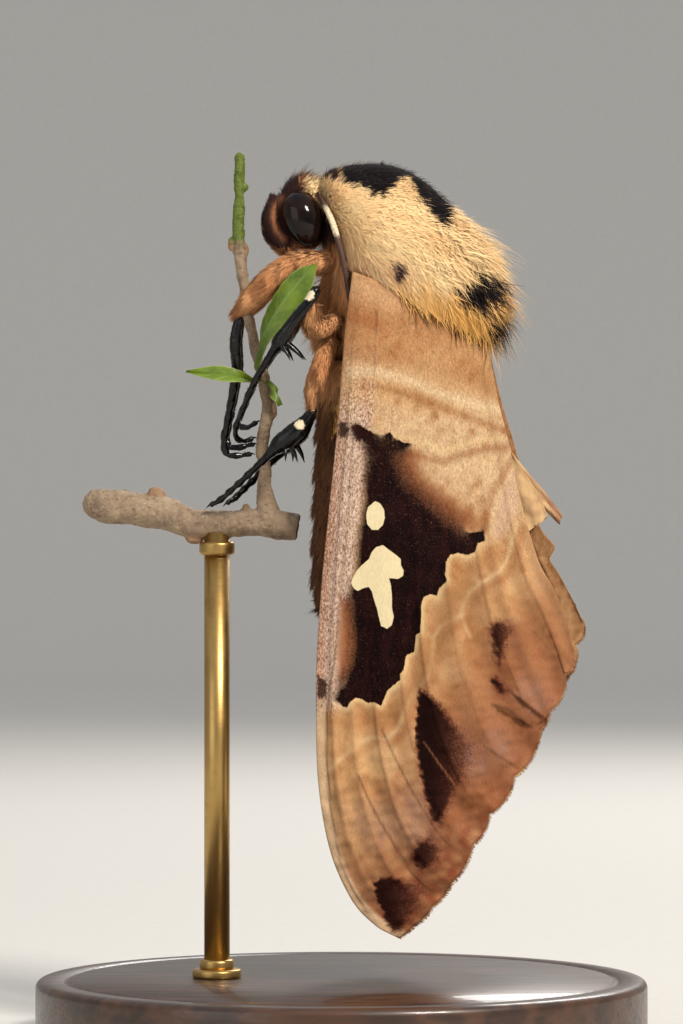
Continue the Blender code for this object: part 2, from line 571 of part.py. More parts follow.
def coat_locks():
    """Staggered rows of locks over the back and sides of the thorax, clear of the other nodes."""
    draw = random.Random(SEED)
    locks = []
    for row, z in enumerate(LOCK_HEIGHTS):
        across = thorax_surface(z, 0.0, 0.0).x - thorax_surface(z, math.pi, 0.0).x
        around = 2 * LOCK_SWEEP * (across + 2 * thorax_surface(z, math.pi / 2, 0.0).y) / 4
        count = max(3, round(around / LOCK_SPACING))
        for i in range(count):
            share = (i + 0.5 * (row % 2) + 0.25 + draw.uniform(-0.12, 0.12)) / count
            angle = LOCK_SWEEP * (2 * share - 1)
            if thorax_surface(z, angle, 0.0).x > LOCK_FRONT:
                locks.append(lock(f"lock_{len(locks)}", z + draw.uniform(-0.3, 0.3), angle, draw))
    return combine(locks[0], locks[1:], "UNION", one_piece=False)


def thorax_solid(name):
    """The core and its coat, cut clear of the wings, feelers, eyes and legs by the gap."""
    coat = coat_locks()
    combine(coat, [head_solid("clear_head", GAP)] + [eye(f"clear_eye_{s}", s, GAP) for s in (-1, 1)]
            + [femur(f"clear_{leg}_{s}", leg, s, GAP) for s in (-1, 1) for leg in LEGS], "DIFFERENCE",
            one_piece=False)
    thorax = thorax_core(name)
    combine(thorax, [coat], "UNION")
    return combine(thorax, [forewing(f"clear_fore_{s}", s, GAP) for s in (-1, 1)]
                   + [hindwing(f"clear_hind_{s}", s, GAP) for s in (-1, 1)]
                   + [antenna(f"clear_antenna_{s}", s, GAP) for s in (-1, 1)], "DIFFERENCE")


def head_solid(name, grow=0.0):
    return egg(name, HEAD_CENTRE, HEAD_RADII, "head_fur", rings=9, sides=16, grow=grow)


def on_side(points, side):
    """Left-side points, or their mirror image where side is 1."""
    return [(x, -side * y, z) for x, y, z in points]


def wing_outline(side):
    """The forewing's outline. The right wing's hind corner stands higher than the left's."""
    if side < 0:
        return COSTA, MARGIN, INNER
    return COSTA, MARGIN[:-3] + FAR_MARGIN_END, FAR_INNER


def forewing(name, side, grow=0.0):
    return wing(name, wing_outline(side), (VEIN_ENDS, VEIN_STARTS, LOBES, PLEATS), side, grow=grow)


def hindwing(name, side, grow=0.0):
    """The hindwing blade with its rolled inner edge joined on."""
    blade_part = wing(name, (HIND_COSTA, HIND_MARGIN, HIND_INNER),
                      (HIND_VEIN_ENDS, HIND_VEIN_STARTS, HIND_LOBES, [0.0] * len(HIND_LOBES)),
                      side, inset=HINDWING_INSET, rows=HIND_ROWS, grow=grow)
    line, radii, y = ANAL_FOLDS["left" if side < 0 else "right"]
    fold = tube(name + "_fold", [(x, y, z) for x, z in line], radii, "wing_scales", count=7, sides=8, grow=grow)
    return combine(blade_part, [fold], "UNION")


def palp(name, side, grow=0.0):
    return tube(name, on_side(PALP_LINE, side), PALP_RADII, "body_fur", count=7, sides=7, grow=grow)


def eye(name, side, grow=0.0):
    centre = on_side([EYE_CENTRE], side)[0]
    return egg(name, centre, EYE_RADII, "eye", grow=grow, tilt=EYE_TILT)


def antenna(name, side, grow=0.0):
    return tube(name, on_side(ANTENNA_LINE, side), ANTENNA_RADII, "antenna", count=15, sides=6, grow=grow)


def leg_line(points, side, shift):
    """A leg's line on its side. The right leg is moved a little more the nearer it is to its foot."""
    placed = on_side(points, side)
    if side < 0:
        return placed
    last = len(placed) - 1
    return [tuple(c + s * i / last for c, s in zip(point, shift)) for i, point in enumerate(placed)]


def femur(name, leg, side, grow=0.0):
    line, radii = LEGS[leg]["femur"]
    return tube(name, on_side(line, side), radii, "body_fur", count=7, sides=8, grow=grow)


def limb_solid(name, leg, side, grow=0.0):
    points, radii = LEGS[leg]["shank"]
    return tube(name, leg_line(points, side, LEGS[leg]["shift"]), radii, "leg_black", count=14, sides=7, grow=grow)


def shank(name, leg, side):
    """The black tibia and tarsus, with spurs and a pair of claws."""
    points = LEGS[leg]["shank"][0]
    line = leg_line(points, side, LEGS[leg]["shift"])
    limb = limb_solid(name, leg, side)
    tip, before = Vector(line[-1]), Vector(line[-2])
    along = (tip - before).normalized()
    extras = []
    for i, spread in enumerate((-1.0, 1.0)):
        aim = (along + Vector((0.0, 0.55 * spread, -0.15))).normalized()
        extras.append(cone(f"{name}_claw_{i}", tip - along * 0.15, tip + aim * CLAW_LENGTH, CLAW_RADIUS, "leg_black"))
    for i, (root, point, radius) in enumerate(LEGS[leg]["spurs"]):
        ends = on_side([root, point], side)
        if side > 0:
            move = Vector(LEGS[leg]["shift"]) * (3 / (len(points) - 1))
            ends = [tuple(Vector(end) + move) for end in ends]
        extras.append(cone(f"{name}_spur_{i}", *ends, radius, "leg_black"))
    combine(limb, extras, "UNION")
    return combine(limb, [stem_solid("clear_stem", GAP)], "DIFFERENCE")


def moth():
    """The insect's own parts, each cut clear of its neighbours by the gap."""
    for side, word in ((-1, "left"), (1, "right")):
        forewing(f"forewing_{word}", side)
        hindwing(f"hindwing_{word}", side)
        eye(f"eye_{word}", side)
        antenna(f"antenna_{word}", side)
        muzzle = palp(f"palp_{word}", side)
        combine(muzzle, [head_solid("clear_head", GAP), eye("clear_eye", side, GAP)], "DIFFERENCE")
        for leg in LEGS:
            upper = femur(f"femur_{leg}_{word}", leg, side)
            combine(upper, [thorax_core("clear_thorax", GAP), limb_solid("clear_limb", leg, side, GAP)], "DIFFERENCE")
            shank(f"shank_{leg}_{word}", leg, side)
    head = head_solid("head")
    combine(head, [thorax_core("clear_thorax", GAP)]
            + [eye(f"clear_eye_{s}", s, GAP) for s in (-1, 1)]
            + [antenna(f"clear_antenna_{s}", s, GAP) for s in (-1, 1)], "DIFFERENCE")
    thorax_solid("thorax")
    body_loft("abdomen", ABDOMEN_STATIONS, 20, 14, "body_fur", steps=SEGMENT_COUNT)


def main():
    for obj in list(bpy.data.objects):
        bpy.data.objects.remove(obj)
    stand()
    twig()
    moth()


main()
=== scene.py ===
"""Dresses the life-size arrow sphinx moth on its cut twig and display stand, and lights it.

Sizes are in millimetres until a mesh is made. The moth's plane of symmetry is XZ, its back faces +X,
its left side faces -Y and its head +Z. Markings are laid out on a side drawing, in tenths of a
millimetre counted right and down from the drawing's top left corner. A line's rows may end in a
radius or half width at that point.
"""

import json
import logging
import math
from dataclasses import dataclass, field, replace
from enum import Enum
from typing import Any, Callable, Sequence

import bpy
import numpy as np
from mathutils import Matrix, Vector
from mathutils.bvhtree import BVHTree


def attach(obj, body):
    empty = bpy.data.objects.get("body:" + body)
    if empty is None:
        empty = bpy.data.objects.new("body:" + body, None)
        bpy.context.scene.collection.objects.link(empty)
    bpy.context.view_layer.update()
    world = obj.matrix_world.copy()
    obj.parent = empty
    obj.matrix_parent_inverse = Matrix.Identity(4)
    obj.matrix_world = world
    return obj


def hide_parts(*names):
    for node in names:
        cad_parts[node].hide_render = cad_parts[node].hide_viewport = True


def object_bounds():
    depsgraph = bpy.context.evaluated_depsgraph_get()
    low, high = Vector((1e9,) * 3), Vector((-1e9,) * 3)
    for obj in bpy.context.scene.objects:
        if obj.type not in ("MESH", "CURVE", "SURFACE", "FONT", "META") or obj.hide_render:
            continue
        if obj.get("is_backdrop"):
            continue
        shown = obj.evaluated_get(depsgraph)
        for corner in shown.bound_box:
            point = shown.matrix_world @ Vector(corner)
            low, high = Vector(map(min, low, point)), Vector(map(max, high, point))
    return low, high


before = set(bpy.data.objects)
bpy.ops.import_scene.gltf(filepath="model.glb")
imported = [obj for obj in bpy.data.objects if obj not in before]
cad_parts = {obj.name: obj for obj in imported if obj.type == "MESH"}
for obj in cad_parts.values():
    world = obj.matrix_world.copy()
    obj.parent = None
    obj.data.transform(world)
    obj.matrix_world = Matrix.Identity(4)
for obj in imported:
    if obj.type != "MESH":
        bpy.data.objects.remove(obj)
CAD_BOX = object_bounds()

MM = 0.001
EYE_AWAY = 500.0
EYE_HEIGHT = 53.3
DRAWN_AWAY = 493.0
DRAWING_MIDDLE = (341.5, 512.0)
DRAWN_PER_MM = 10
SIDES = {-1: "left", 1: "right"}
Array = np.ndarray
Row = Sequence[float]
Line = Sequence[Row]
Colour = tuple[float, float, float]
log = logging.getLogger("moth")


# Numbers

def srgb(colour: Colour) -> Colour:
    """Turns a colour of 0 to 255 into the linear values that shaders take."""
    parts = [part / 255 for part in colour]
    return tuple(part / 12.92 if part <= 0.04045 else ((part + 0.055) / 1.055) ** 2.4 for part in parts)


def unit(vectors: Array) -> Array:
    """Scales vectors to length 1."""
    return vectors / np.maximum(np.linalg.norm(vectors, axis=-1, keepdims=True), 1e-12)


def smooth(points: Line, count: int) -> Array:
    """Follows a smooth curve through given points.

    Args:
        points: The points, with any number of values.
        count: How many rows to return.

    Returns:
        Rows evenly spaced along the curve.
    """
    given = np.array(points, float)
    padded = np.vstack([2 * given[0] - given[1], given, 2 * given[-1] - given[-2]])
    t = np.linspace(0.0, 1.0, 12, endpoint=False)[:, None]
    parts = [0.5 * (2 * b + (c - a) * t + (2 * a - 5 * b + 4 * c - d) * t ** 2
                    + (3 * b - a - 3 * c + d) * t ** 3)
             for a, b, c, d in zip(padded, padded[1:], padded[2:], padded[3:])]
    dense = np.vstack([*parts, given[-1:]])
    run = np.concatenate([[0.0], np.cumsum(np.linalg.norm(np.diff(dense, axis=0), axis=1))])
    wanted = np.linspace(0.0, run[-1], count)
    return np.column_stack([np.interp(wanted, run, column) for column in dense.T])


def waves(points: Array, size: float, seed: int, octaves: int = 3) -> Array:
    """Gives repeatable soft unevenness, made of plane waves in many directions.

    Args:
        points: Places of any dimension.
        size: The longest waves' length.
        seed: Picks the pattern.
        octaves: Layers, each half as long as the last.

    Returns:
        A value from about -1 to 1 at each place.
    """
    layer_waves, fading, highest = 6, 0.55, 3.4
    draw = np.random.default_rng(seed)
    total = np.zeros(len(points))
    for octave in range(octaves):
        for _ in range(layer_waves):
            way = unit(draw.normal(size=points.shape[1])) * draw.uniform(0.7, 1.4)
            turn = points @ way * (2 * math.pi * 2 ** octave / size)
            total += fading ** octave * np.sin(turn + draw.uniform(0.0, 2 * math.pi))
    return total / highest


def ring_turns(count: int) -> Array:
    """Angles of evenly spaced points round a ring."""
    return 2 * math.pi * np.arange(count) / count


def step(values: Array, low: float, high: float) -> Array:
    """Rises smoothly from 0 at low to 1 at high."""
    share = np.clip((values - low) / (high - low), 0.0, 1.0)
    return share * share * (3 - 2 * share)


# The side drawing

def on_drawing(points: Array) -> Array:
    """Finds where places on either side of the moth fall on the side drawing.

    Args:
        points: The places.

    Returns:
        How far right and down each falls.
    """
    scale = DRAWN_PER_MM * DRAWN_AWAY / (EYE_AWAY - np.abs(points[:, 1]))
    right, down = DRAWING_MIDDLE
    return np.column_stack([right + points[:, 0] * scale, down + (EYE_HEIGHT - points[:, 2]) * scale])


def distance(places: Array, line: Line) -> Array:
    """Measures how far places lie from a line of the drawing.

    Args:
        places: Places on the drawing.
        line: The line's points.

    Returns:
        Distances in millimetres.
    """
    corners = np.array(line, float)
    nearest = np.full(len(places), 1e9)
    for start, end in zip(corners[:-1], corners[1:]):
        edge = end - start
        share = np.clip(((places - start) @ edge) / (edge @ edge), 0.0, 1.0)
        nearest = np.minimum(nearest, np.linalg.norm(places - start - share[:, None] * edge, axis=1))
    return nearest / DRAWN_PER_MM


def depth_inside(places: Array, outline: Line) -> Array:
    """Measures how deep places lie inside a closed outline of the drawing.

    Args:
        places: Places on the drawing.
        outline: The outline's corners.

    Returns:
        Millimetres to the edge, positive inside and negative outside.
    """
    corners = np.array(outline, float)
    inside = np.zeros(len(places), bool)
    for start, end in zip(corners, np.roll(corners, -1, axis=0)):
        rise = end[1] - start[1] if end[1] != start[1] else 1e-9
        crossing = start[0] + (places[:, 1] - start[1]) * (end[0] - start[0]) / rise
        inside ^= ((start[1] > places[:, 1]) != (end[1] > places[:, 1])) & (places[:, 0] < crossing)
    away = distance(places, np.vstack([corners, corners[:1]]))
    return np.where(inside, away, -away)


def deepest(places: Array, outlines: Sequence[Line]) -> Array:
    """How deep places lie inside the one of several outlines that holds them best."""
    return np.max([depth_inside(places, outline) for outline in outlines], axis=0)


def near(places: Array, line: Line, width: float) -> Array:
    """A soft mask of 1 on a line that fades over the given width in millimetres."""
    return np.exp(-(distance(places, line) / width) ** 2)


def plain(count: int, colour: Colour) -> Array:
    """One colour for each of a number of points."""
    return np.full((count, 3), srgb(colour))


def tinted(tone: Array, colour: Colour, mask: Array) -> Array:
    """Mixes a colour into one tone for each point, by a mask of 0 to 1."""
    share = np.clip(mask, 0.0, 1.0)[:, None]
    return tone * (1 - share) + np.array(srgb(colour)) * share


# Shapes

def put(data: Any, name: str, values: Array, kind: type = np.float32) -> None:
    """Sets one value on all of a mesh's elements."""
    data.foreach_set(name, np.ascontiguousarray(values, kind).ravel())


def linked(name: str, data: bpy.types.ID) -> bpy.types.Object:
    """Makes an object and links it to the scene.

    Args:
        name: The object's name.
        data: Its mesh, light or camera.

    Returns:
        The object.
    """
    made = bpy.data.objects.new(name, data)
    bpy.context.scene.collection.objects.link(made)
    return made


@dataclass
class Shape:
    """A triangle mesh in millimetres, with values kept for each of its points."""

    points: Array
    faces: Array
    marks: dict[str, Array] = field(default_factory=dict)

    def across(self) -> tuple[Array, Array, Array, Array]:
        """Each face's corners, and the way it faces with a length of twice its area."""
        a, b, c = (self.points[self.faces[:, k]] for k in range(3))
        return a, b, c, np.cross(b - a, c - a)

    def outward(self) -> "Shape":
        """Turns a closed shape's faces to point out.

        Returns:
            The same shape.
        """
        start, _, _, across = self.across()
        if np.sum(start * across) < 0:
            self.faces = self.faces[:, ::-1].copy()
        return self

    def normals(self) -> Array:
        """Averages the faces round each point.

        Returns:
            The direction that the surface faces there.
        """
        across = self.across()[3]
        total = np.zeros_like(self.points)
        for k in range(3):
            np.add.at(total, self.faces[:, k], across)
        return unit(total)

    def raised(self, height: Array) -> "Shape":
        """The same shape with each point moved out by its height."""
        return Shape(self.points + self.normals() * height[:, None], self.faces, self.marks)

    def build(self, name: str, finish: "Finishes", unwrap: Array | None = None,
              facing: Array | None = None) -> bpy.types.Object:
        """Makes the shape an object in metres.

        Args:
            name: Its name.
            finish: Its finish.
            unwrap: Each point's place on the bake map, if any.
            facing: The way that each point is shaded, if not the surface's own.

        Returns:
            The object.
        """
        mesh = bpy.data.meshes.new(name)
        mesh.vertices.add(len(self.points))
        put(mesh.vertices, "co", self.points * MM)
        mesh.loops.add(self.faces.size)
        put(mesh.loops, "vertex_index", self.faces, np.int32)
        mesh.polygons.add(len(self.faces))
        put(mesh.polygons, "loop_start", np.arange(0, self.faces.size, 3), np.int32)
        mesh.update(calc_edges=True)
        mesh.validate()
        mesh.shade_smooth()
        for mark, values in self.marks.items():
            if values.ndim == 2:
                layer = mesh.attributes.new(mark, "FLOAT_COLOR", "POINT")
                put(layer.data, "color", np.column_stack([values, np.ones(len(values))]))
            else:
                put(mesh.attributes.new(mark, "FLOAT", "POINT").data, "value", values)
        if unwrap is not None:
            corners = np.zeros(len(mesh.loops), np.int32)
            mesh.loops.foreach_get("vertex_index", corners)
            put(mesh.uv_layers.new(name="OFBake").data, "uv", unwrap[corners])
        if facing is not None:
            mesh.normals_split_custom_set_from_vertices(facing.tolist())
        mesh.materials.append(finish.material())
        return linked(name, mesh)


def joined(shapes: Sequence[Shape]) -> Shape:
    """Puts shapes together as one.

    Args:
        shapes: The shapes.

    Returns:
        One shape, with the marks that all of them have.
    """
    starts = np.cumsum([0] + [len(shape.points) for shape in shapes[:-1]])
    faces = np.vstack([shape.faces + start for shape, start in zip(shapes, starts)])
    shared = [mark for mark in shapes[0].marks if all(mark in shape.marks for shape in shapes)]
    marks = {mark: np.concatenate([shape.marks[mark] for shape in shapes]) for mark in shared}
    return Shape(np.vstack([shape.points for shape in shapes]), faces, marks)


def settled(host: bpy.types.Object, scale: float = 1.0) -> Shape:
    """Applies an object's modifiers and removes the object.

    Args:
        host: The object.
        scale: What its coordinates are multiplied by.

    Returns:
        Its final mesh, as triangles without marks.
    """
    graph = bpy.context.evaluated_depsgraph_get()
    mesh = bpy.data.meshes.new_from_object(host.evaluated_get(graph))
    bpy.data.objects.remove(host)
    mesh.calc_loop_triangles()
    points = np.zeros(len(mesh.vertices) * 3)
    mesh.vertices.foreach_get("co", points)
    faces = np.zeros(len(mesh.loop_triangles) * 3, np.int32)
    mesh.loop_triangles.foreach_get("vertices", faces)
    bpy.data.meshes.remove(mesh)
    return Shape(points.reshape(-1, 3) * scale, faces.reshape(-1, 3))


def fused(shapes: Sequence[Shape], voxel: float, rounds: int) -> Shape:
    """Melts overlapping shapes into one even skin.

    Args:
        shapes: Closed shapes.
        voxel: The size of the skin's squares.
        rounds: How many times it is smoothed.

    Returns:
        The skin.
    """
    mesh = bpy.data.meshes.new("melt")
    whole = joined(shapes)
    mesh.from_pydata(whole.points.tolist(), [], whole.faces.tolist())
    melt = linked("melt", mesh)
    remesh = melt.modifiers.new("Melt", "REMESH")
    remesh.mode = "VOXEL"
    remesh.voxel_size = voxel
    even = melt.modifiers.new("Even", "SMOOTH")
    even.factor = 0.5
    even.iterations = rounds
    return settled(melt).outward()


def grid_faces(rows: int, columns: int, wrapped: bool) -> Array:
    """Splits the cells of a grid of points into triangles.

    Args:
        rows: The grid's rows.
        columns: Its points in a row.
        wrapped: Whether the last column joins the first.

    Returns:
        The triangles' point numbers.
    """
    i, j = np.meshgrid(np.arange(rows - 1), np.arange(columns if wrapped else columns - 1), indexing="ij")
    a = (i * columns + j).ravel()
    b = (i * columns + (j + 1) % columns).ravel()
    return np.vstack([np.column_stack([a, b, b + columns]), np.column_stack([a, b + columns, a + columns])])


def ring_shape(rings: Array, first: Array | None = None, last: Array | None = None) -> Shape:
    """Joins rings of points into a closed shape that ends in two single points.

    Args:
        rings: The rings' points.
        first: What closes the first ring, if not its middle.
        last: What closes the last ring, in the same way.

    Returns:
        The shape.
    """
    rows, columns, _ = rings.shape
    around = np.arange(columns)
    onward = (around + 1) % columns
    end = (rows - 1) * columns
    faces = np.vstack([
        grid_faces(rows, columns, True),
        np.column_stack([onward, around, np.full(columns, rows * columns)]),
        np.column_stack([end + around, end + onward, np.full(columns, rows * columns + 1)])])
    ends = [rings[k].mean(axis=0) if point is None else point for k, point in ((0, first), (-1, last))]
    return Shape(np.vstack([rings.reshape(-1, 3), *ends]), faces).outward()


def tube(line: Line, count: int, sides: int, blunt: bool = False, inset: float = 0.0) -> Shape:
    """Makes a round limb along a smooth line.

    Args:
        line: Points of its middle, with their radii.
        count: Its rings.
        sides: A ring's points.
        blunt: Whether its last end is cut flat.
        inset: How far it stays inside its radii.

    Returns:
        The closed limb.
    """
    rows = smooth(line, count)
    centres, widths = rows[:, :3], rows[:, 3] - inset
    along = unit(np.gradient(centres, axis=0))
    path = list(zip(centres, widths, along))
    caps = [[(centres[k] + way * along[k] * widths[k] * math.sin(a), widths[k] * math.cos(a), along[k])
             for a in np.radians([65.0, 35.0])] for k, way in ((0, -1), (-1, 1))]
    path = caps[0] + path + ([] if blunt else caps[1][::-1])
    turn = ring_turns(sides)
    side = np.array([0.0, 1.0, 0.0])
    rings = []
    for centre, width, way in path:
        side = unit(side - way * (side @ way))
        around = np.outer(np.cos(turn), side) + np.outer(np.sin(turn), np.cross(way, side))
        rings.append(centre + width * around)
    last = centres[-1] if blunt else centres[-1] + along[-1] * widths[-1]
    return ring_shape(np.array(rings), centres[0] - along[0] * widths[0], last)


def egg(centre: Row, radii: Row, tilt: float = 0.0, rings: int = 20, sides: int = 28) -> Shape:
    """Makes an ellipsoid whose poles lean about Y.

    Args:
        centre: Its middle.
        radii: Its half sizes along X, Y and Z.
        tilt: How far its top leans towards -X, in radians.
        rings: Rings between its poles.
        sides: Points in each ring.

    Returns:
        The closed shape.
    """
    polar = (math.pi * np.arange(1, rings) / rings)[:, None]
    turn = ring_turns(sides)[None]
    ball = np.stack([np.sin(polar) * np.cos(turn), np.sin(polar) * np.sin(turn),
                     np.cos(polar) * np.ones_like(turn)], axis=-1) * np.array(radii)
    cos, sin = math.cos(tilt), math.sin(tilt)
    lean = np.array([[cos, 0.0, sin], [0.0, 1.0, 0.0], [-sin, 0.0, cos]])
    pole = np.array([0.0, 0.0, radii[2]]) @ lean
    return ring_shape(ball @ lean + centre, centre + pole, centre - pole)


def ribbon(path: Array, side: Array, spread: Array, face: Array, lift: Array,
           halves: tuple[Array, Array]) -> Shape:
    """Makes a thin closed blade along a path.

    Args:
        path: Its middle, for each row and column.
        side: The way across it, for each row.
        spread: How far across each point lies.
        face: The way that it faces.
        lift: How far each point is lifted that way.
        halves: How far the upper and lower faces stand off.

    Returns:
        The closed blade.
    """
    middle = path + side[:, None] * spread[..., None]
    upper, lower = (middle + face[:, None] * (lift + way * half)[..., None]
                    for way, half in zip((1, -1), halves))
    return ring_shape(np.concatenate([upper, lower[:, ::-1]], axis=1))


def turned(profile: Line, sides: int, x: float = 0.0, y: float = 0.0) -> Array:
    """Rings of points round an upright axis, from a profile of radius and height."""
    turn = ring_turns(sides)
    return np.array([[(x + r * math.cos(a), y + r * math.sin(a), z) for a in turn] for r, z in profile])


def on_side(points: Line, side: int) -> list[tuple[float, ...]]:
    """Left-side points, or their mirror image where side is 1."""
    return [(x, -side * y, *rest) for x, y, *rest in points]


# Node graphs

def operator(operation: str, reflected: bool = False) -> Callable[["Wire", Any], "Wire"]:
    """Makes an operator of Wire that adds a Math node.

    Args:
        operation: The node's operation.
        reflected: Whether the other value comes first.

    Returns:
        The operator.
    """
    def apply(self: "Wire", other: Any) -> "Wire":
        """The node's result for this and another value."""
        return self.graph.math(operation, *((other, self) if reflected else (self, other)))

    return apply


class Wire:
    """A node's output that takes part in Python expressions."""

    def __init__(self, graph: "Graph", socket: bpy.types.NodeSocket) -> None:
        """Keeps the graph that new nodes join, and the output."""
        self.graph = graph
        self.socket = socket

    __add__ = operator("ADD")
    __radd__ = operator("ADD", True)
    __sub__ = operator("SUBTRACT")
    __rsub__ = operator("SUBTRACT", True)
    __mul__ = operator("MULTIPLY")
    __rmul__ = operator("MULTIPLY", True)
    __truediv__ = operator("DIVIDE")
    __rtruediv__ = operator("DIVIDE", True)

    def soft(self, low: float, high: float) -> "Wire":
        """Rises smoothly from 0 where this is low to 1 where it is high."""
        return self.graph.add("ShaderNodeMapRange", {"interpolation_type": "SMOOTHSTEP"},
                              {"Value": self, "From Min": low, "From Max": high})


class Graph:
    """Adds nodes to one tree, of a material or of Geometry Nodes."""

    def __init__(self, tree: bpy.types.NodeTree) -> None:
        """Keeps the tree."""
        self.tree = tree

    def feed(self, socket: bpy.types.NodeSocket, value: Any) -> None:
        """Links a wire to an input, or sets the input's own value.

        Args:
            socket: The input.
            value: A wire, a colour of 0 to 255, or what the input is set to.
        """
        if isinstance(value, Wire):
            self.tree.links.new(value.socket, socket)
        elif socket.type == "RGBA":
            socket.default_value = (*srgb(value), 1.0)
        else:
            socket.default_value = value

    def add(self, kind: str, settings: dict[str, Any] | None = None, values: dict[Any, Any] | None = None,
            output: str | int = 0) -> Wire:
        """Adds a node.

        Args:
            kind: Its type.
            settings: Its properties, set first.
            values: What its inputs are set or linked to.
            output: Which output is returned.

        Returns:
            The chosen output.
        """
        node = self.tree.nodes.new(kind)
        for name, value in (settings or {}).items():
            setattr(node, name, value)
        for key, value in (values or {}).items():
            self.feed(node.inputs[key], value)
        return Wire(self, node.outputs[output])

    def math(self, operation: str, *values: Any) -> Wire:
        """Adds a Math node of the given values."""
        return self.add("ShaderNodeMath", {"operation": operation}, dict(enumerate(values)))

    def mark(self, name: str, output: str = "Fac") -> Wire:
        """Reads a value, or a colour, that the mesh keeps for each point."""
        return self.add("ShaderNodeAttribute", {"attribute_name": name}, output=output)

    def place(self, stretch: Row = (1.0, 1.0, 1.0)) -> Wire:
        """Object coordinates in millimetres, stretched by the given factors."""
        where = self.add("ShaderNodeTexCoord", output="Object")
        return self.add("ShaderNodeMapping", values={"Vector": where, "Scale": [1000 * s for s in stretch]})

    def noise(self, scale: float, detail: float = 2.0, roughness: float = 0.5,
              stretch: Row = (1.0, 1.0, 1.0)) -> Wire:
        """Cloudy noise from 0 to 1 over the stretched object coordinates."""
        return self.add("ShaderNodeTexNoise", values={
            "Vector": self.place(stretch), "Scale": scale, "Detail": detail, "Roughness": roughness})

    def cells(self, scale: float) -> Wire:
        """How far places lie from the middles of small cells."""
        return self.add("ShaderNodeTexVoronoi", values={"Vector": self.place(), "Scale": scale},
                        output="Distance")

    def mix(self, share: Any, low: Any, high: Any) -> Wire:
        """Mixes two colours, by how much of the second."""
        return self.add("ShaderNodeMix", {"data_type": "RGBA", "clamp_factor": True},
                        {0: share, 6: low, 7: high}, output=2)

    def layers(self, colour: Any, *layers: tuple[Any, Any]) -> Any:
        """Mixes colours over a colour.

        Args:
            colour: The lowest.
            layers: How much of each colour is mixed in, and the colour.

        Returns:
            The result.
        """
        for share, upper in layers:
            colour = self.mix(share, colour, upper)
        return colour

    def scaled(self, amount: Any) -> Wire:
        """The mesh's own tone, made brighter or darker by a value."""
        tone = self.mark("tone", "Color")
        return self.add("ShaderNodeVectorMath", {"operation": "SCALE"}, {"Vector": tone, "Scale": amount})

    def bump(self, height: Wire, depth: float, strength: float = 1.0) -> Wire:
        """Raises the surface in its shading by a height of up to the given depth in millimetres."""
        sizes = {"Distance": depth * MM, "Strength": strength}
        return self.add("ShaderNodeBump", values={"Height": height, **sizes})


# Finishes

@dataclass(frozen=True)
class Finish:
    """A surface: the shader's steady values, and the nodes of what varies over it."""

    name: str
    roughness: float = 0.6
    metallic: float = 0.0
    specular: float = 0.5
    sheen: float = 0.0
    coat: float = 0.0

    def varied(self, graph: Graph) -> dict[str, Wire]:
        """The shader inputs that change over the surface."""
        return {}

    def material(self) -> bpy.types.Material:
        """Makes the material on first use.

        Returns:
            The material.
        """
        made = bpy.data.materials.get(self.name)
        if made:
            return made
        made = bpy.data.materials.new(self.name)
        made.use_nodes = True
        shader = made.node_tree.nodes["Principled BSDF"]
        steady = {"Roughness": self.roughness, "Metallic": self.metallic, "Specular IOR Level": self.specular,
                  "Sheen Weight": self.sheen, "Sheen Roughness": 0.5, "Coat Weight": self.coat,
                  "Coat Roughness": 0.05}
        for socket, value in steady.items():
            shader.inputs[socket].default_value = value
        graph = Graph(made.node_tree)
        for socket, value in self.varied(graph).items():
            graph.feed(shader.inputs[socket], value)
        return made


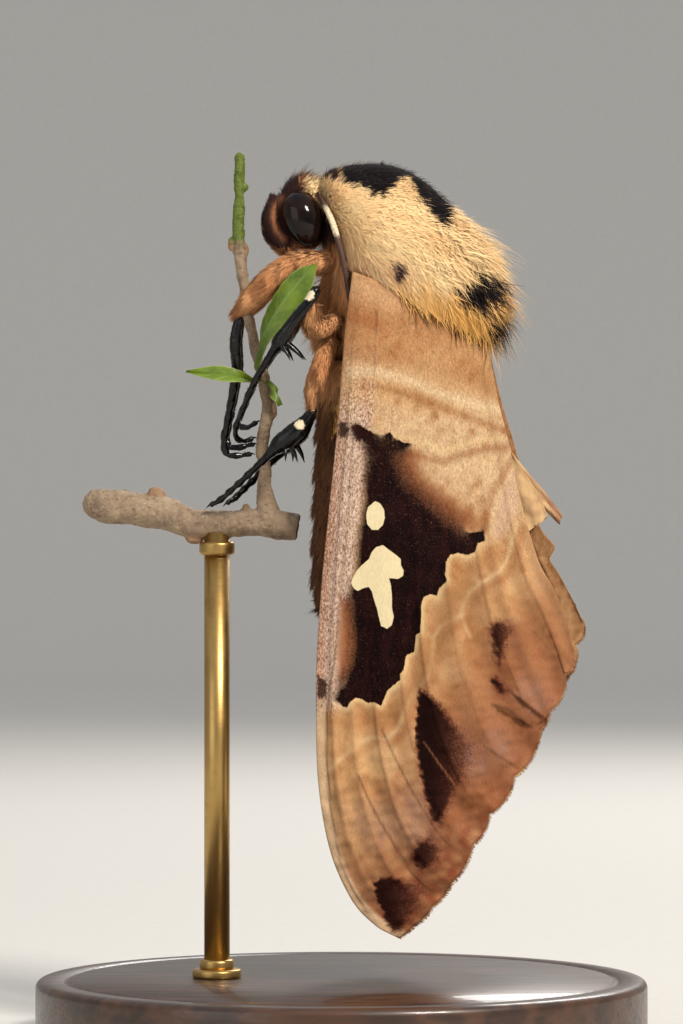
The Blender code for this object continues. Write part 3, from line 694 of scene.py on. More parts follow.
@dataclass(frozen=True)
class WingScales(Finish):
    """Powdery wing scales over the tones of the mesh, with the dark patch and the cream marks."""

    dark: Colour = (34, 12, 10)
    darkest: Colour = (13, 4, 4)
    cream: Colour = (212, 197, 158)
    speck: Colour = (120, 84, 74)
    vein: Colour = (62, 36, 28)
    lengthwise: Row = (1.4, 1.4, 0.5)

    def varied(self, graph: Graph) -> dict[str, Wire]:
        """Adds patch, marks, veins with painted shade in the creases near the margin, and grain.

        Args:
            graph: Its graph.

        Returns:
            What varies over it.
        """
        grain = graph.noise(4.0, 3.0, 0.75, self.lengthwise)
        fleck = graph.noise(4.8, 3.0, 0.75)
        ragged = graph.noise(2.7, 4.0, 0.7, self.lengthwise) - 0.5
        fine = graph.noise(9.0, 2.0, 0.6) - 0.5
        near_root = graph.add("ShaderNodeSeparateXYZ", values={0: graph.place()}, output=2).soft(44.0, 54.0)
        powder = 0.36 * (grain - 0.5) + 0.34 * (fleck - 0.5) + 0.16 * fine
        streaky = graph.noise(1.0, 5.0, 0.8, (6.0, 6.0, 0.6))
        specks = graph.noise(5.6, 2.0, 0.8, (1.0, 1.0, 0.6))
        costal, torn, blot = (graph.mark(name) for name in ("costal", "torn", "blot"))
        blot = blot + (ragged * 0.45 + fine * 1.3) * blot.soft(0.0, 0.3) * (1.25 - blot)
        spread = 0.09 + torn * 3.4
        edge = graph.mark("patch") + ragged * (0.3 + torn * 0.8) + fine * torn * 1.6
        share = (edge + (fleck - 0.5) * spread * 0.9) / spread
        covered = share.soft(-0.5, 0.42)
        cloud = graph.noise(0.8, 4.0, 0.7, self.lengthwise).soft(0.35, 0.75)
        cloudy = graph.mix(cloud, self.darkest, self.dark)
        inner = graph.mix(graph.noise(9.0, 1.0).soft(0.64, 0.74) * (0.3 + torn * 0.4), cloudy, self.speck)
        dots = (graph.mark("dots") + ragged * 0.9 + (fleck - 0.5) * 0.8).soft(-0.2, 0.2)
        cream = (graph.mark("cream") + (fleck - 0.5) * 0.12).soft(-0.03, 0.05)
        colour = graph.layers(
            graph.scaled(0.6 + powder * (0.9 + 1.3 * near_root)),
            (costal * streaky.soft(0.5, 0.66) * 0.35, (104, 66, 50)),
            (costal * (1 - streaky).soft(0.5, 0.64) * 0.4, (182, 156, 142)),
            (costal * specks.soft(0.53, 0.62) * 0.7, (84, 50, 42)),
            (costal * (1 - specks).soft(0.54, 0.63) * 0.6, (222, 200, 184)),
            (blot.soft(0.05, 0.6) * 0.7, (106, 56, 40)),
            (blot.soft(0.32, 0.85) * 0.95, self.dark),
            (blot.soft(0.8, 1.0) * 0.8, self.darkest),
            (share.soft(-0.85, 0.1) * torn * 0.8, (116, 62, 38)),
            (covered, inner),
            (dots * 0.9, self.dark),
            # Dark veins, and painted shade in the creases near the margin.
            (graph.mark("vein") * (0.55 + 0.45 * grain) * 0.85, self.vein),
            (cream, graph.mix(grain.soft(0.3, 0.7), (203, 185, 146), self.cream)))
        return {"Base Color": colour, "Roughness": 0.78 - 0.12 * covered + 0.1 * (grain - 0.5),
                "Normal": graph.bump(grain * 0.6 + fleck * 0.4, 0.035, 0.75)}


@dataclass(frozen=True)
class Fuzz(Finish):
    """Scales or hair over the tones of the mesh, broken up by fine grain."""

    grain: Row = (3.0, 2.0, 0.6)
    stretch: Row = (1.0, 1.0, 1.0)
    darkest: float = 0.95
    contrast: float = 0.1
    raised: float = 0.0

    def varied(self, graph: Graph) -> dict[str, Wire]:
        """Adds grain to the mesh's tones.

        Args:
            graph: Its graph.

        Returns:
            What varies over it.
        """
        grain = graph.noise(*self.grain, self.stretch)
        colour = {"Base Color": graph.scaled(self.darkest + self.contrast * grain)}
        return colour | ({"Normal": graph.bump(grain, self.raised, 0.8)} if self.raised else {})


@dataclass(frozen=True)
class EyeGlass(Finish):
    """A glossy black compound eye with a trace of its facets and a brown cast, a painted reflection of the brown
    fur and legs.
    """

    def varied(self, graph: Graph) -> dict[str, Wire]:
        """Facets too fine to stand out."""
        cloud = graph.noise(0.35)
        # Painted reflection: the brown cast of the fur and legs, broken up by the facets.
        return {"Base Color": graph.mix(cloud.soft(0.4, 0.7) * graph.cells(12.0), (4, 4, 6), (38, 20, 15)),
                "Roughness": 0.05 + 0.06 * cloud}


@dataclass(frozen=True)
class LegHorn(Finish):
    """Black leg horn dusted with fine scales, with cream scales at the knees."""

    def varied(self, graph: Graph) -> dict[str, Wire]:
        """Adds scales, dust and knee marks.

        Args:
            graph: Its graph.

        Returns:
            What varies over it.
        """
        scales = graph.noise(4.0, 3.0, 0.65)
        knee = (graph.mark("knee") + 0.7 * (scales - 0.5)).soft(0.42, 0.6)
        black = graph.mix(graph.noise(1.1).soft(0.35, 0.7), (3, 3, 4), (12, 10, 11))
        dust = graph.noise(6.5, 1.0).soft(0.68, 0.76) * 0.3
        return {"Base Color": graph.layers(black, (dust, (120, 110, 108)), (knee, (214, 198, 166))),
                "Roughness": 0.16 + 0.4 * knee + 0.16 * (scales - 0.5),
                "Normal": graph.bump(scales, 0.03, 0.6)}


@dataclass(frozen=True)
class FeelerScales(Finish):
    """Scales on a feeler, cream near its root and brown beyond."""

    def varied(self, graph: Graph) -> dict[str, Wire]:
        """Cream that gives way to brown."""
        pale = graph.mix(graph.noise(4.0).soft(0.45, 0.75), (222, 208, 176), (176, 140, 104))
        return {"Base Color": graph.mix(graph.mark("pale"), (74, 46, 34), pale)}


@dataclass(frozen=True)
class Bark(Finish):
    """Smooth young bark: pale tan with grey bloom, fine cracks and pale pores."""

    def varied(self, graph: Graph) -> dict[str, Wire]:
        """Adds bloom, cracks, pores and the green of young growth.

        Args:
            graph: Its graph.

        Returns:
            What varies over it.
        """
        cloud = graph.noise(0.45, 4.0, 0.6)
        fine = graph.noise(3.2, 4.0, 0.7)
        cracks = graph.noise(1.5, 5.0, 0.75, (1.0, 2.6, 2.6)).soft(0.56, 0.7)
        pores = (1 - graph.cells(0.95)).soft(0.84, 0.94)
        green = (graph.mark("green") + 0.5 * (cloud - 0.5)).soft(0.2, 0.8)
        young = graph.mix(fine.soft(0.35, 0.7), (76, 92, 30), (106, 118, 46))
        colour = graph.layers(
            graph.mix(cloud.soft(0.3, 0.7), (122, 100, 80), (162, 139, 112)),
            (fine.soft(0.45, 0.8) * 0.6, (170, 154, 134)), (cracks * 0.55, (78, 60, 48)),
            (pores * 0.7, (176, 160, 134)), (graph.mark("bud") * 0.75, (146, 98, 62)), (green, young))
        return {"Base Color": colour, "Roughness": 0.72 - 0.15 * green,
                "Normal": graph.bump(fine * 0.5 + pores * 0.4 - cracks * 0.5, 0.12, 0.8)}


@dataclass(frozen=True)
class LeafBlade(Finish):
    """A fresh leaf: green cells, paler veins and a yellow rim."""

    def varied(self, graph: Graph) -> dict[str, Wire]:
        """Adds cells, veins and rim.

        Args:
            graph: Its graph.

        Returns:
            What varies over it.
        """
        cells = graph.noise(2.2, 3.0, 0.6)
        ribs = graph.mark("ribs")
        colour = graph.layers(
            graph.mix(graph.noise(0.35).soft(0.3, 0.7), (64, 88, 14), (102, 126, 24)),
            (cells.soft(0.4, 0.75) * 0.35, (112, 134, 34)), (ribs * 0.6, (118, 144, 66)),
            (graph.mark("rim").soft(0.8, 0.98) * 0.65, (142, 158, 74)))
        return {"Base Color": colour, "Roughness": 0.42 + 0.15 * (cells - 0.5),
                "Normal": graph.bump(cells * 0.5 - ribs, 0.08, 0.7)}


@dataclass(frozen=True)
class TurnedWood(Finish):
    """Dark stained wood, waxed, with its grain along X."""

    def varied(self, graph: Graph) -> dict[str, Wire]:
        """Adds rings, fibres and pores.

        Args:
            graph: Its graph.

        Returns:
            What varies over it.
        """
        bend = graph.noise(1.0, 3.0, 0.55, (0.03, 0.16, 0.16))
        fibre = graph.noise(0.8, 4.0, 0.7, (0.12, 3.0, 3.0))
        rings = graph.math("SINE", bend * 34) * 0.5 + 0.5
        colour = graph.mix(rings, (50, 31, 21), (76, 48, 31))
        return {"Base Color": graph.mix(fibre.soft(0.5, 0.75) * 0.5, colour, (28, 17, 12)),
                "Roughness": 0.34 + 0.2 * fibre.soft(0.4, 0.8),
                "Normal": graph.bump(fibre * 0.6 + rings * 0.4, 0.05, 0.5)}


@dataclass(frozen=True)
class BrushedBrass(Finish):
    """Aged brass, brushed round the rod."""

    def varied(self, graph: Graph) -> dict[str, Wire]:
        """Adds brush marks and tarnish.

        Args:
            graph: Its graph.

        Returns:
            What varies over it.
        """
        brush = graph.noise(1.0, 2.0, 0.6, (0.6, 0.6, 14.0))
        tarnish = graph.noise(0.22, 4.0, 0.6).soft(0.45, 0.75)
        return {"Base Color": graph.mix(tarnish * 0.5, (186, 152, 92), (118, 88, 50)),
                "Roughness": 0.26 + 0.16 * brush + 0.15 * tarnish, "Normal": graph.bump(brush, 0.02, 0.4)}


@dataclass(frozen=True)
class StudioPaper(Finish):
    """Pale matt paper."""

    def varied(self, graph: Graph) -> dict[str, Wire]:
        """A trace of tooth."""
        return {"Base Color": graph.mix(graph.noise(0.6, 3.0), (205, 202, 196), (213, 210, 204))}


class Finishes(Enum):
    """The finishes by the part that they cover."""

    WING = WingScales("wing scales", roughness=0.78, specular=0.035)
    HINDWING = Fuzz("hindwing scales", roughness=0.8, specular=0.1, grain=(4.5, 3.0, 0.65),
                    stretch=(2.2, 2.2, 0.6), darkest=0.48, contrast=0.26, raised=0.04)
    COAT = Fuzz("coat hair", roughness=0.85, specular=0.08, sheen=0.03)
    SKIN = Fuzz("skin under coat", roughness=0.95, specular=0.1, grain=(2.4, 4.0, 0.7),
                stretch=(3.0, 3.0, 1.0), darkest=0.78, contrast=0.24, raised=0.12)
    EYE = EyeGlass("eye glass", roughness=0.1, specular=0.22)
    LEG = LegHorn("leg horn", roughness=0.3, specular=0.32)
    FEELER = FeelerScales("feeler scales", roughness=0.6)
    BARK = Bark("pale bark", roughness=0.72, specular=0.3)
    LEAF = LeafBlade("leaf blade", roughness=0.42)
    WOOD = TurnedWood("turned wood", roughness=0.4, coat=0.25)
    BRASS = BrushedBrass("brushed brass", roughness=0.3, metallic=1.0)
    PAPER = StudioPaper("studio paper", roughness=0.9, specular=0.1)

    def material(self) -> bpy.types.Material:
        """The finish's material."""
        return self.value.material()


# Geometry Nodes

class Grower:
    """A Geometry Nodes tree that sets small tapered pieces on a host mesh, run once."""

    def __init__(self, name: str, seed: int, **sizes: float) -> None:
        """Starts the tree, with a named input for the seed and for each size.

        Args:
            name: The tree's name.
            seed: What the draws start from.
            sizes: Each size by its title, in metres or radians.
        """
        self.tree = bpy.data.node_groups.new(name, "GeometryNodeTree")
        self.values = {"Seed": seed, **sizes}
        for way in ("INPUT", "OUTPUT"):
            self.tree.interface.new_socket("Geometry", in_out=way, socket_type="NodeSocketGeometry")
        for title in self.values:
            kind = "NodeSocketInt" if title == "Seed" else "NodeSocketFloat"
            self.tree.interface.new_socket(title, in_out="INPUT", socket_type=kind)
        self.graph = Graph(self.tree)
        sockets = self.tree.nodes.new("NodeGroupInput").outputs
        self.input = {title: Wire(self.graph, sockets[title]) for title in ("Geometry", *self.values)}

    def named(self, title: str, kind: str) -> Wire:
        """A value that the host keeps for each point."""
        return self.graph.add("GeometryNodeInputNamedAttribute", {"data_type": kind}, {"Name": title})

    def chance(self, low: Any, high: Any, seed: int) -> Wire:
        """A random number between two values for each point."""
        return self.graph.add("FunctionNodeRandomValue", {"data_type": "FLOAT"},
                              {2: low, 3: high, "Seed": self.input["Seed"] + seed}, output=1)

    def vector(self, x: Any, y: Any, z: Any) -> Wire:
        """A vector of three values."""
        return self.graph.add("ShaderNodeCombineXYZ", values={0: x, 1: y, 2: z})

    def grow(self, host: bpy.types.Object, points: Wire, way: Wire, scale: Wire, sides: int, taper: float,
             finish: Finishes) -> Shape:
        """Ends the tree with a cone at each point, and runs it.

        Args:
            host: What they grow on, in metres, and what is then removed.
            points: Where they stand.
            way: The way that they point.
            scale: Their scale.
            sides: A cone's sides.
            taper: Its top's width as a share of its root's.
            finish: Their finish.

        Returns:
            What grew, in millimetres.
        """
        graph, spread, width = self.graph, self.input["Spread"], self.input["Width"]
        cone = graph.add("GeometryNodeMeshCone", {"fill_type": "TRIANGLE_FAN"}, {
            "Vertices": sides, "Radius Top": width * taper, "Radius Bottom": width,
            "Depth": self.input["Length"]})
        aimed = graph.add("FunctionNodeAlignRotationToVector", {"axis": "Z"}, {"Vector": way})
        lean = self.vector(self.chance(spread * -1, spread, 1), self.chance(spread * -1, spread, 2),
                           self.chance(-3.1, 3.1, 3))
        turn = graph.add("FunctionNodeEulerToRotation", values={0: lean})
        leaning = graph.add("FunctionNodeRotateRotation", {"rotation_space": "LOCAL"}, {0: aimed, 1: turn})
        cones = graph.add("GeometryNodeInstanceOnPoints", values={
            "Points": points, "Instance": cone, "Rotation": leaning, "Scale": scale})
        real = graph.add("GeometryNodeRealizeInstances", values={0: cones})
        dressed = graph.add("GeometryNodeSetMaterial", values={
            "Geometry": real, "Material": finish.material()})
        self.tree.links.new(dressed.socket, self.tree.nodes.new("NodeGroupOutput").inputs[0])
        modifier = host.modifiers.new("Grow", "NODES")
        modifier.node_group = self.tree
        for item in self.tree.interface.items_tree:
            if item.in_out == "INPUT" and item.name in self.values:
                modifier[item.identifier] = self.values[item.name]
        return settled(host, 1 / MM)


def along_line(points: Array, aims: Array, sizes: Array, spacing: float, length: float,
               width: float, spread: float, follow: bool, finish: Finishes) -> Shape:
    """Sets small tapered pieces along a line.

    Args:
        points: The line's points.
        aims: The way that a piece points there.
        sizes: Its size there, as a factor.
        spacing: The distance between pieces.
        length: Their length.
        width: Their radius at the root.
        spread: The most that they lean, in radians.
        follow: Whether they are rings round the line, and not hairs.
        finish: Their finish.

    Returns:
        The pieces as one shape.
    """
    mesh = bpy.data.meshes.new("host")
    mesh.from_pydata((points * MM).tolist(), [(i, i + 1) for i in range(len(points) - 1)], [])
    put(mesh.attributes.new("aim", "FLOAT_VECTOR", "POINT").data, "vector", aims)
    put(mesh.attributes.new("size", "FLOAT", "POINT").data, "value", sizes)
    grower = Grower("rings" if follow else "fringe", 5, Spacing=spacing * MM, Length=length * MM,
                    Width=width * MM, Spread=spread)
    graph = grower.graph
    curve = graph.add("GeometryNodeMeshToCurve", values={0: grower.input["Geometry"]})
    even = graph.add("GeometryNodeResampleCurve", {"mode": "LENGTH"},
                     {"Curve": curve, "Length": grower.input["Spacing"]})
    size = grower.named("size", "FLOAT")
    if follow:
        way, scale = graph.add("GeometryNodeInputTangent"), grower.vector(size, size, 1.0)
    else:
        way = grower.named("aim", "FLOAT_VECTOR")
        scale = grower.vector(size * 1.5, size * 0.45, size * grower.chance(0.6, 1.25, 7))
    sides, taper = (10, 0.8) if follow else (4, 0.3)
    return grower.grow(linked("host", mesh), even, way, scale, sides, taper, finish)


def over_surface(shape: Shape, density: float, length: float, width: float, spread: float,
                 finish: Finishes) -> Shape:
    """Scatters short thorns or pores over a surface.

    Args:
        shape: The surface.
        density: Pieces in a square millimetre.
        length: Their length.
        width: Their radius at the root.
        spread: The most that they lean, in radians.
        finish: Their finish.

    Returns:
        The pieces as one shape.
    """
    grower = Grower("scatter", 8, Density=density / MM ** 2, Length=length * MM, Width=width * MM,
                    Spread=spread)
    spots = grower.graph.add("GeometryNodeDistributePointsOnFaces", {"distribute_method": "RANDOM"}, {
        "Mesh": grower.input["Geometry"], "Density": grower.input["Density"], "Seed": grower.input["Seed"]})
    way = Wire(grower.graph, spots.socket.node.outputs["Normal"])
    grown = grower.chance(0.5, 1.3, 9)
    host = Shape(shape.points, shape.faces).build("host", finish)
    return grower.grow(host, spots, way, grower.vector(grown, grown, grown), 5, 0.15, finish)


def deliver(piece: bpy.types.Object, slot: str, nodes: Sequence[str] = ()) -> None:
    """Hands a finished piece to the frame and reports it.

    Args:
        piece: The piece.
        slot: The record's slot, not used.
        nodes: The nodes that it stands for.
    """
    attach(piece, "root")
    if nodes:
        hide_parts(*nodes)
    log.info("%s: %d triangles", piece.name, len(piece.data.polygons))


# Wings

@dataclass(frozen=True)
class Roof:
    """The surface that the closed wings follow, by its distance from the plane of symmetry."""

    ridge: Line = (
        (4.0, 22.0), (30.0, 23.4), (39.0, 23.4), (41.9, 22.9), (45.4, 21.6), (51.0, 19.1), (60.5, 16.9),
        (64.5, 15.9), (71.0, 14.4), (79.0, 13.0))
    costal: Line = (
        (4.0, -1.0), (14.5, -1.9), (26.5, -2.4), (34.5, -2.55), (39.5, -2.45), (46.5, -1.95), (54.5, -1.15),
        (62.5, -0.35), (71.5, 0.35), (79.0, 0.9))
    depth: Line = (
        (4.0, 7.0), (12.0, 7.4), (20.0, 8.3), (35.0, 9.2), (50.0, 9.6), (62.0, 9.1), (68.0, 8.2),
        (72.0, 7.2), (79.0, 6.2))
    ridge_depth: float = 1.9
    power: float = 0.85
    costal_roll: float = 0.9
    roll_start: float = 0.88

    def across(self, x: Array, z: Array) -> Array:
        """How far places lie from the ridge, where 1 is the costal edge."""
        ridge = np.interp(z, *np.array(self.ridge).T)
        return (ridge - x) / (ridge - np.interp(z, *np.array(self.costal).T))

    def height(self, x: Array, z: Array) -> Array:
        """Measures the roof's distance from the plane of symmetry.

        Args:
            x, z: Places along X and Z.

        Returns:
            The distances.
        """
        depth = np.interp(z, *np.array(self.depth).T)
        share = np.clip(self.across(x, z), 0.0, 1.05)
        rise = np.sin(np.minimum(share ** self.power, 1.0) * math.pi / 2)
        roll = self.costal_roll * (np.maximum(share - self.roll_start, 0.0) / (1 - self.roll_start)) ** 2
        return self.ridge_depth + (depth - self.ridge_depth) * rise - roll


ROOF = Roof()


@dataclass
class Wing:
    """A wing blade over the roof, with raised veins, pleats and a lobed outer margin."""

    side: int
    costa: Line
    margin: Line
    inner: Line
    vein_ends: Row
    vein_starts: Row
    lobes: Row
    pleats: Row
    rows: int
    columns: int
    inset: float = 0.0
    thickness: float = 0.5
    margin_thickness: float = 0.18
    costa_thickness: float = 0.9
    costa_share: float = 0.05
    vein_height: float = 0.2
    vein_width: float = 0.22
    fringe_sizes: Row = (0.05, 0.34, 0.05, 0.3)
    crumple_size: float = 5.0
    edge_points: int = 240
    crowding: float = 0.9
    pleat_start: float = 0.25
    lobe_start: float = 0.7
    thin_start: float = 0.8

    def fill(self, along: Array, across: Array) -> Array:
        """Fills the outline with lines that fan from root to margin.

        Args:
            along: Shares of the way from root to margin.
            across: Shares of the way from costa to inner edge.

        Returns:
            X and Z at each crossing.
        """
        def curve(points: Line, at: Array) -> Array:
            """Points of an edge at the given shares of its length."""
            shares = np.linspace(0.0, 1.0, self.edge_points)
            return np.column_stack([np.interp(at, shares, row) for row in smooth(points, self.edge_points).T])

        front, back = curve(self.costa, along), curve(self.inner, along)
        root, edge = curve([self.costa[0], self.inner[0]], across), curve(self.margin, across)
        u, v = along[:, None, None], across[None, :, None]
        sides = (1 - v) * front[:, None] + v * back[:, None]
        corners = ((1 - u) * (1 - v) * front[0] + u * (1 - v) * front[-1]
                   + (1 - u) * v * back[0] + u * v * back[-1])
        return sides + (1 - u) * root[None] + u * edge[None] - corners

    def tuck(self, x: Array, z: Array) -> Array:
        """How far creases lift the blade. A plain wing has none."""
        return np.zeros_like(x)

    def blade(self) -> Shape:
        """Makes the closed blade.

        Returns:
            The blade. Its marks give each point's share of the way along, its slope in a pleat, its
            height on a rib and its face.
        """
        along = np.linspace(0.0, 1.0, self.rows) ** self.crowding
        across = np.linspace(0.0, 1.0, self.columns)
        grid = self.fill(along, across)
        ends = np.array(self.vein_ends)
        cell = np.clip(np.searchsorted(ends, across, side="right") - 1, 0, len(self.lobes) - 1)
        cell_run = (across - ends[cell]) / (ends[cell + 1] - ends[cell])
        arch = np.sin(math.pi * np.clip(cell_run, 0.0, 1.0))
        tangent = np.gradient(grid[-1], axis=0)
        reach = np.clip((along - self.lobe_start) / (1 - self.lobe_start), 0.0, 1.0)[:, None] ** 2
        reach = reach * np.array(self.lobes)[cell] * arch ** 0.6
        grid = grid + reach[..., None] * unit(np.column_stack([tangent[:, 1], -tangent[:, 0]]))
        x, z = grid[..., 0], grid[..., 1]
        u, v = np.meshgrid(along, across, indexing="ij")
        width = np.linalg.norm(grid[:, -1] - grid[:, 0], axis=1)[:, None]
        ridge = np.zeros_like(x)
        for end, start in zip(self.vein_ends[1:-1], self.vein_starts[1:-1]):
            crest = np.exp(-((v - end) * width / self.vein_width) ** 2)
            ridge = np.maximum(ridge, crest * np.clip((u - start) * 8, 0.0, 1.0))
        ridge *= 1 - u ** 12
        fold = (np.array(self.pleats)[cell] * arch)[None, :] * np.clip(u - self.pleat_start, 0.0, 1.0) * 1.5
        crumple = waves(np.column_stack([x.ravel(), z.ravel()]), self.crumple_size, 31).reshape(x.shape)
        crumple *= 0.03 + 0.17 * step(u, 0.5, 0.95)
        middle = ROOF.height(x, z) - self.inset + fold + crumple + self.tuck(x, z)
        near_margin = np.clip((u - self.thin_start) / (1 - self.thin_start), 0.0, 1.0)
        taper = self.thickness + (self.margin_thickness - self.thickness) * near_margin
        at_costa = step(1 - v / self.costa_share, 0.0, 1.0) * (1 - 0.7 * u)
        costal = (self.costa_thickness - self.thickness) * at_costa
        half = (taper + costal) / 2 + self.vein_height * ridge
        sheets = np.stack([[x, self.side * (middle + way * half), z] for way in (1, -1)])
        cells, under = grid_faces(self.rows, self.columns, False), self.rows * self.columns
        numbers = np.arange(under).reshape(self.rows, self.columns)
        rim = np.concatenate([numbers[0], numbers[1:, -1], numbers[-1, -2::-1], numbers[-2:0:-1, 0]])
        onward = np.roll(rim, -1)
        faces = np.vstack([cells, under + cells[:, ::-1], np.column_stack([onward, rim, under + onward]),
                           np.column_stack([under + onward, rim, under + rim])])
        slope = np.broadcast_to(np.sin(2 * math.pi * cell_run)[None, :], x.shape)
        marks = {name: np.tile(value.ravel(), 2)
                 for name, value in (("u", u), ("slope", slope), ("rib", ridge))}
        marks["under"] = np.repeat([0.0, 1.0], under)
        return Shape(sheets.transpose(0, 2, 3, 1).reshape(-1, 3), faces, marks).outward()

    def fringe(self, blade: Shape, start: float) -> Shape:
        """Sets the short scale hairs along the outer margin.

        Args:
            blade: The blade.
            start: The share of the inner edge beyond which it has hairs too.

        Returns:
            The hairs.
        """
        middle = blade.points.reshape(2, self.rows, self.columns, 3).mean(axis=0)
        first = int(self.rows * start)
        edge, inside = (np.vstack([middle[k], middle[first:-1, k][::-1]]) for k in (-1, -4))
        return along_line(edge, unit(edge - inside), np.ones(len(edge)), *self.fringe_sizes, False,
                          Finishes.HINDWING)


